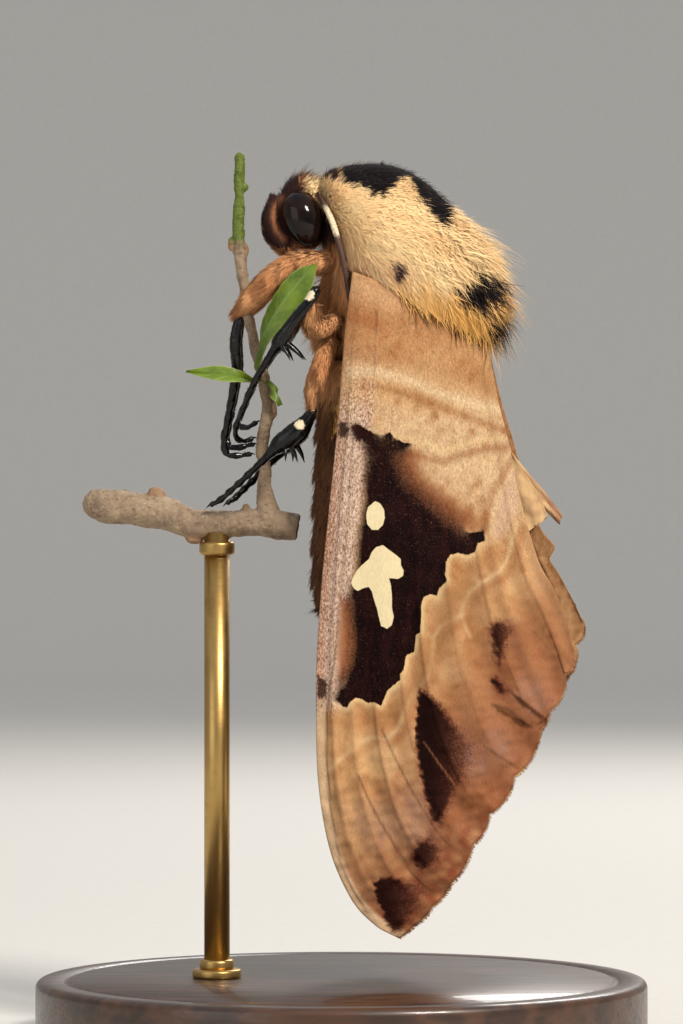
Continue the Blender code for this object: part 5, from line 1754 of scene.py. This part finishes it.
@dataclass
class Body:
    """The flesh under the coat: thorax, abdomen, head, upper legs and palps in one skin."""

    markings: Markings
    thorax: Line = (
        (88.1, 1.6, 4.6, 0.9), (87.7, -0.8, 6.3, 2.9), (86.9, -2.4, 8.1, 4.4), (85.3, -2.8, 10.1, 5.9),
        (82.0, -2.0, 12.7, 7.1), (79.0, -1.6, 14.6, 7.6), (76.0, -2.2, 15.5, 7.3), (73.0, -2.6, 15.8, 6.2),
        (71.0, -2.6, 14.6, 5.2), (69.4, -2.0, 12.0, 4.2))
    abdomen: Line = (
        (69.0, -1.9, 11.0, 4.9), (67.6, -2.35, 10.7, 5.3), (62.5, -2.5, 9.6, 4.8), (55.0, -2.75, 6.6, 4.1),
        (49.0, -2.9, 3.6, 3.2), (45.6, -2.85, 1.4, 2.2), (43.4, -2.3, -0.2, 0.9))
    segments: int = 7
    segment_step: float = 0.3
    coat_depth: float = 0.85
    short_coat: float = 0.3
    voxel: float = 0.3
    sides: int = 64
    head_centre: Row = (-4.0, 0.0, 83.3)
    head_radii: Row = (2.45, 2.75, 3.15)
    palp: Line = (
        (-3.8, -1.2, 80.2, 0.8), (-5.5, -1.35, 80.0, 1.0), (-6.8, -1.3, 81.4, 1.1),
        (-7.2, -1.15, 83.0, 0.95), (-7.0, -1.0, 84.8, 0.5))

    def loft(self, stations: Line, grow: float, rings: int, steps: int = 0) -> Shape:
        """Lofts level ovals through stations of height, belly, back and half width.

        Args:
            stations: The stations, from the head down.
            grow: How far the ovals swell.
            rings: The number of ovals.
            steps: The number of segments.

        Returns:
            The closed loft.
        """
        z, belly, back, half = (column[:, None] for column in smooth(stations, rings).T)
        share = np.linspace(0.0, 1.0, rings)[:, None]
        swell = grow + (self.segment_step * ((share * steps) % 1.0 - 0.5) if steps else 0.0)
        turn = ring_turns(self.sides)
        z = np.repeat(z, len(turn), axis=1)
        z[0] += grow
        z[-1] -= grow
        x = (belly + back) / 2 + ((back - belly) / 2 + swell) * np.cos(turn)
        return ring_shape(np.stack([x, (half + swell) * np.sin(turn), z], axis=-1))

    def parts(self) -> dict[str, Shape]:
        """Makes the flesh of each part, inside its coat.

        Returns:
            The parts by their nodes' names.
        """
        made = {"thorax": self.loft(self.thorax, -self.coat_depth, 80),
                "abdomen": self.loft(self.abdomen, -self.short_coat, 90, self.segments),
                "head": egg(self.head_centre, self.head_radii, rings=30, sides=40)}
        for side, word in SIDES.items():
            made[f"palp_{word}"] = tube(on_side(self.palp, side), 24, 20, inset=0.2)
            for leg in Legs:
                femur = tube(on_side(leg.value.femur, side), 24, 20, inset=self.short_coat)
                made[f"femur_{leg.name}_{word}"] = femur
        return made

    def make(self, parts: dict[str, Shape]) -> Shape:
        """Builds the skin.

        Args:
            parts: The flesh of each part.

        Returns:
            The skin, for the coat to grow on.
        """
        skin = fused(list(parts.values()), self.voxel, 6)
        skin.marks = {"tone": self.markings.at(skin.points, 0.0)}
        deliver(skin.build("body_skin", Finishes.SKIN), "body_fur", list(parts))
        return skin


@dataclass(frozen=True)
class Growth:
    """How the coat grows on one part: tufts in a square millimetre, and each tuft's sizes."""

    density: float
    length: float
    width: float
    rise: float
    flow: tuple[float, float, float]
    spread: float
    from_head: bool = False
    crest: float = 0.0


class Growths(Enum):
    """The coat's kinds."""

    BACK = Growth(148.0, 2.3, 0.105, 0.75, (0.0, 0.0, -0.3), 0.17, from_head=True)
    BELLY = Growth(46.0, 1.7, 0.12, 0.35, (-0.12, 0.0, -1.0), 0.25)
    HEAD = Growth(110.0, 1.0, 0.09, 0.42, (0.75, 0.0, 0.65), 0.3, crest=1.6)
    LEG = Growth(64.0, 1.3, 0.1, 0.24, (0.0, 0.0, -1.0), 0.12)
    PALP = Growth(80.0, 0.8, 0.09, 0.16, (0.0, 0.0, 1.0), 0.2)


@dataclass
class Coat:
    """Tufts of hair over the skin, each a thin bent spike of ten triangles."""

    body: Body
    skin: Shape
    eye_centre: Row
    eye_radii: Row
    most_in_piece: int = 19000
    swept_back: float = 0.372
    wing_front: Row = (1.1, 77.2)
    crown: Row = (80.5, 86.0)
    forehead: Row = (84.8, 86.6)
    nape: Row = (7.5, 13.0)
    wing_border: Row = (-2.8, -0.3)
    root_depth: float = 0.12
    near_skin: float = 0.3
    evenness: float = 2.2
    wing_top: float = 0.42
    wing_reach: float = 1.6
    map_margin: float = 0.02
    map_size: float = 0.95
    patch_size: float = 0.003
    rings: Line = ((0.0, 0.75), (0.48, 1.0))
    corners: Sequence[tuple[int, int, int]] = (
        (0, 3, 1), (1, 3, 4), (1, 4, 2), (2, 4, 5), (2, 5, 0), (0, 5, 3), (3, 6, 4), (4, 6, 5), (5, 6, 3),
        (0, 1, 2))
    patch: Line = ((0.0, 0.0), (0.5, 0.0), (1.0, 0.0), (0.0, 0.5), (0.5, 0.6), (1.0, 0.5), (0.5, 1.0))
    # Painted shade: each tuft's points darker at its root and lighter at its tip.
    shade: Row = (0.92, 0.92, 0.92, 1.0, 1.01, 1.0, 1.03)

    def roots(self, shape: Shape, density: float, draw: np.random.Generator) -> tuple[Array, Array]:
        """Draws evenly spread places on a part, and keeps those that lie on the skin.

        Args:
            shape: The part.
            density: Places in a square millimetre.
            draw: The random draw.

        Returns:
            The places and the directions that the surface faces there.
        """
        a, b, c, across = shape.across()
        area = np.linalg.norm(across, axis=1) / 2
        count = int(density * area.sum())
        chosen = draw.choice(len(area), size=count, p=area / area.sum())
        first, second = draw.random(count), draw.random(count)
        over = first + second > 1
        first[over], second[over] = 1 - first[over], 1 - second[over]
        places = a[chosen] + first[:, None] * (b - a)[chosen] + second[:, None] * (c - a)[chosen]
        tree = BVHTree.FromPolygons(self.skin.points.tolist(), self.skin.faces.tolist())
        kept = np.array([tree.find_nearest(Vector(place))[3] for place in places]) < self.near_skin
        return places[kept], unit(across)[chosen][kept]

    def over_wing(self, points: Array, margin: float) -> tuple[Array, Array, Array]:
        """Compares points with the closed wings.

        Args:
            points: The points.
            margin: How far above the wings' front edge they still count.

        Returns:
            Each point's share of the way across, the wing's outer face there, and whether there is one.
        """
        x, z = points[:, 0], points[:, 2]
        share = ROOF.across(x, z)
        front, top = self.wing_front
        winged = (z < top + margin - (x - front) * self.swept_back) & (share > -0.02)
        return share, ROOF.height(x, z), winged

    def under_wing(self, points: Array) -> Array:
        """Finds points that lie inside or just under a wing's outer face.

        Args:
            points: The points.

        Returns:
            True for each that does.
        """
        share, height, winged = self.over_wing(points, 0.0)
        off = height + self.wing_top - np.abs(points[:, 1])
        return winged & (share > 0.0) & (share < 1.0) & (off > 0.0) & (off < self.wing_reach)

    def seen(self, places: Array) -> Array:
        """Finds places that the closed wings don't cover.

        Args:
            places: Places on the skin.

        Returns:
            True for each that shows.
        """
        share, height, winged = self.over_wing(places, 0.4)
        return ~(winged & (share < 0.93) & (np.abs(places[:, 1]) < height + 0.1))

    def on_eye(self, points: Array, grow: float) -> Array:
        """Finds points within an eye that is swollen by a factor."""
        off = np.abs(points) * (-1, 1, 1) - np.array(self.eye_centre) * (1, -1, 1)
        return np.linalg.norm(off / self.eye_radii, axis=1) < grow

    def lie(self, kind: Growth, places: Array, facing: Array, draw: np.random.Generator) -> Array:
        """Finds which way the hair lies.

        Args:
            kind: How the part's coat grows.
            places: The roots.
            facing: The directions that the skin faces.
            draw: The random draw.

        Returns:
            A direction along the skin for each root.
        """
        flow = np.tile(np.array(kind.flow), (len(places), 1))
        clumping = 0.12
        if kind.from_head:
            brown = self.body.markings.brown(places)[:, None]
            flow = (flow + unit(places - np.array(self.body.head_centre))) * (1 - brown)
            flow += np.array((-0.15, 0.0, -1.0)) * brown
            clumping = 0.12 + 0.3 * step(places[:, :1], 8.5, 13.0)
        swirl = np.stack([waves(places, 3.0, seed) for seed in (21, 22, 23)], axis=1)
        clump = np.stack([waves(places, 1.3, seed, 1) for seed in (24, 25, 26)], axis=1)
        flow = flow + 0.2 * swirl + clumping * clump + kind.spread * draw.normal(size=places.shape)
        return unit(flow - facing * np.sum(flow * facing, axis=1, keepdims=True))

    def tufts(self, kind: Growth, shape: Shape, seed: int, axis: Line) -> tuple[Array, ...]:
        """Grows one part's tufts.

        Args:
            kind: How its coat grows.
            shape: The part.
            seed: Picks the random draw.
            axis: The two ends of the part's long axis.

        Returns:
            Each tuft's points, their colours, the way that the skin faces at its root, and the root's
            place on the part's unwrap.
        """
        draw = np.random.default_rng(seed)
        places, facing = self.roots(shape, kind.density, draw)
        on_wing = depth_inside(on_drawing(places), self.body.markings.bare)
        kept = self.seen(places) & ~self.on_eye(places, 1.03) & (on_wing < 0)
        places, facing, on_wing = places[kept], facing[kept], on_wing[kept]
        count, (x, _, z) = len(places), places.T
        way = self.lie(kind, places, facing, draw)
        across = unit(np.cross(facing, way))
        brown, top, back = (mask * kind.from_head for mask in (
            self.body.markings.brown(places), step(z, *self.crown), step(x, *self.nape)))
        border = step(on_wing, *self.wing_border)
        crest = kind.crest * step(z, *self.forehead)
        clump = back * waves(places, 1.5, 27, 2)
        length = kind.length * draw.uniform(0.7, 1.2, count) * (1 - 0.5 * top + 0.15 * back)
        length *= (1 + border * draw.uniform(-0.4, 0.5, count)) * (1 + 0.6 * crest) * (1 + 0.75 * clump)
        length *= 1 - 0.45 * border * step(x, 6.5, 3.5)
        rise = kind.rise * draw.uniform(0.72, 1.2, count) * (1 + 0.6 * brown) * (1 - 0.35 * top)
        rise *= (1 + 0.6 * back + 0.9 * clump) * (1 - 0.6 * border) * (1 + crest)
        rise[draw.random(count) < 0.04 + 0.08 * back] *= 1.8
        bend = draw.normal(size=count) * 0.12 * length
        rings = []
        for t, size in self.rings:
            lift = (rise + self.root_depth) * math.sin(t * math.pi / 2) - self.root_depth
            middle = places + way * (length * t)[:, None] + facing * lift[:, None]
            middle += across * (bend * t * t)[:, None]
            half = across * (kind.width * size / 2)
            rings += [middle + half, middle + facing * (kind.width * size * 0.3), middle - half]
        rings.append(places + way * length[:, None] + facing * rise[:, None] + across * bend[:, None])
        points = np.stack(rings, axis=1)
        colour = self.body.markings.at(points[:, 3:6].mean(axis=1), 0.6)
        colour = colour * draw.uniform(0.95, 1.05, (count, 1))
        black = colour.max(axis=1) < 0.03
        colour[black] += np.array((0.034, 0.027, 0.025)) * draw.random((black.sum(), 1)) ** 4
        # Painted shade, darker towards each tuft's root.
        tone = np.clip(colour[:, None, :] * np.array(self.shade)[:, None], 0.0, 0.95)
        flat = points.reshape(-1, 3)
        each = len(self.shade)
        low, in_eye = (mask.reshape(-1, each).any(axis=1)
                       for mask in (self.under_wing(flat), self.on_eye(flat, 0.96)))
        kept = ~(low & ((ROOF.across(x, z) > 1.0) | (x < 5.5))) & ~in_eye
        kept &= draw.random(count) > 0.55 * border ** 2
        flat = points[kept].reshape(-1, 3)
        low = self.under_wing(flat)
        flat[low, 1] = np.sign(flat[low, 1]) * (ROOF.height(flat[low, 0], flat[low, 2]) + self.wing_top)
        return flat.reshape(-1, each, 3), tone[kept], facing[kept], self.unwrap(places[kept], axis)

    def unwrap(self, roots: Array, axis: Line) -> Array:
        """Unrolls a part round its long axis.

        Args:
            roots: Places on the part.
            axis: The axis's two ends.

        Returns:
            Each place's turn round the axis and its way along it.
        """
        start, end = np.array(axis, float)[:, :3]
        way = unit(end - start)
        side = unit(np.cross(way, (1.0, 0.0, 0.1)))
        off = roots - start
        turn = np.arctan2(off @ side, off @ np.cross(way, side)) / (2 * math.pi) + 0.5
        return np.column_stack([turn, off @ way])

    def piece(self, name: str, slot: str, grown: Sequence[tuple[Array, ...]]) -> None:
        """Makes pieces of the coat, none with too many triangles.

        Args:
            name: The pieces' name.
            slot: The record's slot.
            grown: The tufts of each part, which share the bake map side by side.
        """
        points, tone, facing = (np.concatenate([part[k] for part in grown]) for k in range(3))
        spots = np.concatenate([part[3] * (1 / len(grown), 1.0) + (number / len(grown), 0.0)
                                for number, part in enumerate(grown)])
        parts, each = max(1, math.ceil(len(spots) / self.most_in_piece)), len(self.shade)
        for number, chosen in enumerate(np.array_split(np.argsort(spots[:, 1], kind="stable"), parts)):
            faces = np.array(self.corners)[None] + each * np.arange(len(chosen))[:, None, None]
            low, high = spots[chosen, 1].min(), spots[chosen, 1].max()
            roots = (spots[chosen] - (0.0, low)) / (1.0, high - low)
            unwrap = (self.map_margin + self.map_size * roots)[:, None]
            unwrap = unwrap + self.patch_size * np.array(self.patch)[None]
            shape = Shape(points[chosen].reshape(-1, 3), faces.reshape(-1, 3),
                          {"tone": tone[chosen].reshape(-1, 3)}).outward()
            shaded = unit(shape.normals() + self.evenness * np.repeat(facing[chosen], each, axis=0))
            title = name if parts == 1 else f"{name}_{number + 1}"
            deliver(shape.build(title, Finishes.COAT, unwrap.reshape(-1, 2), shaded), slot)

    def make(self, parts: dict[str, Shape]) -> None:
        """Grows the coat of every part.

        Args:
            parts: The flesh of each part.
        """
        for kind, part, slot, seed, axis in (
                (Growths.BACK, "thorax", "thorax_fur", 101, ((4.0, 0.0, 89.0), (6.0, 0.0, 69.0))),
                (Growths.BELLY, "abdomen", "body_fur", 102, ((4.0, 0.0, 69.0), (-1.0, 0.0, 43.0))),
                (Growths.HEAD, "head", "head_fur", 103, ((-4.0, 0.0, 87.0), (-4.0, 0.0, 79.0)))):
            self.piece(f"coat_{part}", slot, [self.tufts(kind.value, parts[part], seed, axis)])
        limbs = []
        for side, word in SIDES.items():
            line = on_side(self.body.palp, side)
            shape = parts[f"palp_{word}"]
            limbs.append(self.tufts(Growths.PALP.value, shape, 210 + side, (line[0], line[-1])))
            for number, leg in enumerate(Legs):
                line = on_side(leg.value.femur, side)
                flow = unit(np.subtract(line[-1], line[0])[:3]) - (0.0, 0.0, leg.value.fur_drop)
                kind = replace(Growths.LEG.value, flow=tuple(flow), length=leg.value.fur_length)
                shape = parts[f"femur_{leg.name}_{word}"]
                limbs.append(self.tufts(kind, shape, 200 + 10 * number + side, (line[0], line[-1])))
        self.piece("coat_limbs", "body_fur", limbs)


@dataclass
class Senses:
    """The eyes and the feelers, each feeler with its rings."""

    eye_centre: Row = (-3.9, -2.5, 82.9)
    eye_radii: Row = (1.9, 1.8, 2.8)
    eye_tilt: float = math.radians(20)
    feeler: Line = (
        (-2.3, -1.9, 85.5, 0.28), (-1.6, -3.5, 84.0, 0.32), (-0.9, -4.6, 82.4, 0.34),
        (-0.3, -5.2, 80.4, 0.34), (0.3, -5.2, 78.0, 0.34), (0.8, -4.85, 75.0, 0.32),
        (1.2, -5.4, 72.2, 0.3), (1.45, -5.95, 70.2, 0.26), (1.5, -6.1, 69.4, 0.2))
    feeler_radius: float = 0.34
    ring_spacing: float = 0.3
    ring_length: float = 0.26
    pale_root: Row = (80.8, 81.3)
    pale_tip: Row = (84.4, 83.7)
    path_points: int = 120

    def make(self) -> None:
        """Builds both sides."""
        for side, word in SIDES.items():
            ball = egg(np.array(on_side([self.eye_centre], side)[0]), self.eye_radii, self.eye_tilt, 44, 60)
            deliver(ball.build(f"eye_glass_{word}", Finishes.EYE), "eye", [f"eye_{word}"])
            line = on_side(self.feeler, side)
            rows = smooth(line, self.path_points)
            rings = along_line(rows[:, :3], np.ones_like(rows[:, :3]), rows[:, 3] / self.feeler_radius,
                               self.ring_spacing, self.ring_length, self.feeler_radius, 0.0, True,
                               Finishes.FEELER)
            whole = joined([tube(line, 90, 16, inset=0.05), rings])
            z = whole.points[:, 2]
            whole.marks = {"pale": step(z, *self.pale_root) * step(z, *self.pale_tip)}
            deliver(whole.build(f"feeler_{word}", Finishes.FEELER), "antenna", [f"antenna_{word}"])


# Perch and stand

@dataclass
class Twig:
    """The cut branch, the stem that rises from it, their buds and the small leaves."""

    branch: Line = (
        (-24.6, 3.0, 54.0, 1.75), (-19.2, 2.0, 53.4, 1.7), (-15.2, 1.2, 52.2, 1.5),
        (-12.6, 0.8, 52.1, 1.38), (-9.1, 0.3, 52.2, 1.35), (-6.4, 0.0, 52.0, 1.5), (-4.4, 0.0, 51.7, 1.3))
    stem: Line = (
        (-7.3, 0.0, 52.6, 1.5), (-7.5, 0.0, 53.85, 1.05), (-7.85, 0.0, 56.0, 0.72),
        (-7.65, 0.0, 57.6, 0.62), (-8.05, 0.0, 59.3, 0.6), (-7.85, 0.0, 61.6, 0.62),
        (-7.35, 0.0, 64.0, 0.68), (-7.85, 0.0, 66.5, 0.6), (-8.75, 0.0, 70.0, 0.56),
        (-9.5, 0.0, 73.5, 0.55), (-9.95, 0.0, 76.5, 0.56), (-10.4, 0.0, 80.7, 0.68),
        (-10.35, 0.0, 84.5, 0.56), (-10.3, 0.0, 89.3, 0.55))
    buds: Sequence[tuple[Row, Row]] = (
        ((-18.9, 1.9, 55.0), (0.95, 0.8, 0.85)), ((-14.9, 1.1, 50.7), (1.0, 0.8, 0.75)),
        ((-9.7, 0.3, 53.7), (0.4, 0.4, 0.45)), ((-11.25, 0.0, 80.5), (0.32, 0.34, 0.75)),
        ((-9.65, 0.0, 79.9), (0.3, 0.34, 0.7)), ((-9.75, 0.0, 86.2), (0.38, 0.36, 0.5)),
        ((-6.95, 0.0, 63.5), (0.5, 0.45, 0.7)))
    green_from: float = 79.1
    green_to: float = 82.1
    upper: Line = (
        (-8.3, -0.1, 67.4, 0.22), (-8.7, -1.15, 68.0, 0.26), (-8.4, -2.8, 69.2, 0.35),
        (-7.75, -4.9, 71.2, 0.95), (-5.9, -5.95, 74.2, 1.5), (-4.0, -6.3, 76.6, 1.35),
        (-2.6, -6.3, 78.2, 0.1))
    left: Line = (
        (-8.0, -0.1, 66.6, 0.2), (-8.8, -1.1, 66.5, 0.24), (-9.3, -2.3, 66.5, 0.3),
        (-10.3, -4.5, 66.8, 0.66), (-12.6, -5.1, 67.1, 0.8), (-15.6, -5.4, 67.3, 0.1))
    right: Line = (
        (-7.8, -0.2, 66.6, 0.18), (-7.4, -1.2, 66.2, 0.26), (-6.9, -1.6, 65.6, 0.5),
        (-6.45, -1.7, 64.9, 0.5), (-6.1, -1.7, 64.1, 0.08))
    voxel: float = 0.13
    leaf_thickness: float = 0.24
    leaf_fold: float = 0.35

    def wood(self) -> Shape:
        """Melts branch and stem together, knotty, with their buds.

        Returns:
            The wood, with its buds and green end as marks.
        """
        parts = [tube(self.branch, 60, 32, True), tube(self.stem, 90, 24)]
        parts += [egg(np.array(centre), radii) for centre, radii in self.buds]
        wood = fused(parts, self.voxel, 3)
        knots = 0.09 * waves(wood.points, 4.0, 51) + 0.035 * waves(wood.points, 0.9, 52)
        wood = wood.raised(knots - 0.03 * step(waves(wood.points * (0.3, 1.0, 1.0), 0.8, 53), 0.2, 0.8))
        reach = np.min([np.linalg.norm((wood.points - np.array(centre)) / (np.array(radii) * 1.25), axis=1)
                        for centre, radii in self.buds], axis=0)
        wood.marks = {"bud": step(reach, 1.0, 0.6)}
        return wood

    def leaf(self, line: Line) -> Shape:
        """Makes a small pointed leaf, folded along its midrib and waved at its rim.

        Args:
            line: Its midrib, from the stem out, with its half widths.

        Returns:
            The closed blade, with its veins and rim as marks.
        """
        rows, columns = 56, 27
        path = smooth(line, rows)
        shares, run = np.linspace(-1.0, 1.0, columns)[None], np.linspace(0.0, 1.0, rows)[:, None]
        away = np.abs(shares)
        along = unit(np.gradient(path[:, :3], axis=0))
        across = unit(np.array((0.35, -0.25, -0.9)))
        side = unit(across - along * (along @ across)[:, None])
        veins = np.exp(-(np.sin((run * 7 - away * 1.1) * math.pi) / 0.22) ** 2) * (away < 0.9)
        rib = np.maximum(np.exp(-(shares / 0.07) ** 2) * np.ones_like(run), 0.5 * veins)
        lift = 0.12 * np.sin(run * 9 + 1.3) * shares ** 2 * step(path[:, 3:], 0.4, 0.9)
        lift = lift + self.leaf_fold * away
        half = self.leaf_thickness / 2 * (1 - 0.75 * away ** 3)
        shape = ribbon(path[:, None, :3], side, shares * path[:, 3:] * (1 + 0.03 * np.sin(run * 70)),
                       unit(np.cross(along, side)), lift, (half, half + 0.05 * rib))
        ribs, rim = (np.concatenate([value, value[:, ::-1]], axis=1).ravel()
                     for value in (rib, away + 0 * run))
        shape.marks = {"ribs": np.append(ribs, [0.0, 0.0]), "rim": np.append(rim, [1.0, 1.0])}
        return shape

    def make(self) -> None:
        """Builds the wood, its pores and the leaves."""
        wood = self.wood()
        pores = over_surface(wood, 0.5, 0.09, 0.11, 0.3, Finishes.BARK)
        pores.marks = {"bud": np.zeros(len(pores.points))}
        whole = joined([wood, pores])
        whole.marks["green"] = step(whole.points[:, 2], self.green_from, self.green_to)
        deliver(whole.build("twig_wood", Finishes.BARK), "bark", ["twig_branch", "twig_stem"])
        for name in ("upper", "left", "right"):
            leaf = self.leaf(getattr(self, name)).build(f"leaf_{name}", Finishes.LEAF)
            deliver(leaf, "leaf", [f"twig_leaf_{name}"])


@dataclass
class Stand:
    """A turned wooden base and the brass rod that carries the branch."""

    radius: float = 31.0
    height: float = 6.0
    chamfer: float = 0.8
    groove: float = 27.8
    groove_profile: Line = ((0.7, 0.0), (0.45, 0.22), (0.15, 0.3), (-0.15, 0.22), (-0.4, 0.0))
    rod_radius: float = 1.3
    rod_place: Row = (-12.65, 0.8)
    rod_top: float = 51.2
    collars: Line = ((2.5, 5.95, 6.9, 0.3), (1.75, 6.8, 7.9, 0.35), (1.8, 48.9, 50.3, 0.35))
    base_sides: int = 160
    rod_sides: int = 48
    collar_sides: int = 64

    def rounded(self, radius: float, low: float, high: float, edge: float) -> list[tuple[float, float]]:
        """Draws the profile of a disc with rounded edges.

        Args:
            radius: Its radius.
            low: Its underside's height.
            high: Its top's height.
            edge: How far its edges are rounded.

        Returns:
            Radius and height of each point, from the bottom up.
        """
        bend = np.radians(np.linspace(0.0, 90.0, 7))
        foot = [(radius - edge + edge * math.sin(a), low + edge - edge * math.cos(a)) for a in bend]
        top = [(radius - edge + edge * math.cos(a), high - edge + edge * math.sin(a)) for a in bend]
        return [(radius * 0.5, low), *foot, *top]

    def make(self) -> None:
        """Builds the base and the rod with its collars."""
        profile = self.rounded(self.radius, 0.0, self.height, self.chamfer)
        profile += [(self.groove + out, self.height - deep) for out, deep in self.groove_profile]
        base = ring_shape(turned([*profile, (self.groove * 0.5, self.height)], self.base_sides))
        deliver(base.build("base_wood", Finishes.WOOD), "stand_wood", ["stand_base"])
        rod = [(self.rod_radius, self.height - 0.4), (self.rod_radius, self.rod_top)]
        parts = [turned(rod, self.rod_sides, *self.rod_place)]
        parts += [turned(self.rounded(*collar), self.collar_sides, *self.rod_place)
                  for collar in self.collars]
        whole = joined([ring_shape(part) for part in parts])
        deliver(whole.build("rod_brass", Finishes.BRASS), "stand_metal", ["stand_rod"])


@dataclass
class Studio:
    """A pale floor that curves up all round, soft lights and the camera."""

    floor_radius: float = 1000.0
    wall_reach: float = 900.0
    wall_height: float = 1200.0
    wall_rings: int = 24
    sides: int = 96
    eye: Row = (0.0, -EYE_AWAY, EYE_HEIGHT)
    aim: Row = (4.0, 0.0, 55.0)
    lens: float = 173.3
    lamps: Sequence[tuple[str, Row, float, float, Colour]] = (
        ("key", (330.0, -430.0, 480.0), 0.15, 5.3, (1.0, 0.95, 0.87)),
        ("fill", (-420.0, -420.0, 160.0), 0.42, 0.7, (0.92, 0.96, 1.0)),
        ("back", (160.0, 480.0, 380.0), 0.24, 1.6, (1.0, 0.97, 0.93)))
    sky: Row = (0.93, 0.95, 1.0, 1.0)
    sky_strength: float = 0.6

    def make(self) -> None:
        """Sets up floor, lights and camera."""
        bend = np.radians(np.linspace(-90.0, 0.0, self.wall_rings))
        wall = [(self.floor_radius + self.wall_reach * math.cos(a), self.wall_height * (1 + math.sin(a)))
                for a in bend]
        profile = [(1.0, 0.0), (300.0, 0.0), *wall]
        bowl = ring_shape(turned(profile, self.sides), np.zeros(3))
        Shape(bowl.points[:-1], bowl.faces[:-self.sides, ::-1]).build("floor", Finishes.PAPER)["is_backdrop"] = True
        for name, place, size, power, colour in self.lamps:
            data = bpy.data.lights.new(name, "AREA")
            data.shape = "SQUARE"
            data.size = size
            data.energy = power
            data.color = colour
            lamp = linked(name, data)
            lamp.location = Vector(place) * MM
            lamp.rotation_euler = (Vector(self.aim) - Vector(place)).to_track_quat("-Z", "Y").to_euler()
        world = bpy.data.worlds.new("studio")
        world.use_nodes = True
        shade = world.node_tree.nodes["Background"]
        shade.inputs["Color"].default_value = self.sky
        shade.inputs["Strength"].default_value = self.sky_strength
        scene = bpy.context.scene
        scene.world = world
        scene.view_settings.view_transform = "Standard"
        data = bpy.data.cameras.new("camera")
        data.lens = self.lens
        data.clip_start = 0.01
        data.clip_end = 10.0
        scene.camera = linked("camera", data)
        scene.camera.location = Vector(self.eye) * MM
        scene.camera.rotation_euler = (math.pi / 2, 0.0, 0.0)


def main() -> None:
    """Builds everything in order."""
    logging.basicConfig(level=logging.INFO, format="%(message)s")
    Studio().make()
    Stand().make()
    Twig().make()
    senses = Senses()
    senses.make()
    for side in SIDES:
        for leg in Legs:
            Shank(leg, side).make()
        Hindwing(side).make()
        Forewing(side).make()
    body = Body(Markings())
    parts = body.parts()
    Coat(body, body.make(parts), senses.eye_centre, senses.eye_radii).make(parts)
    for low, high in (CAD_BOX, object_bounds()):
        json.dumps([list(low), list(high)]) + "\n"


if __name__ == "__main__":
    main()
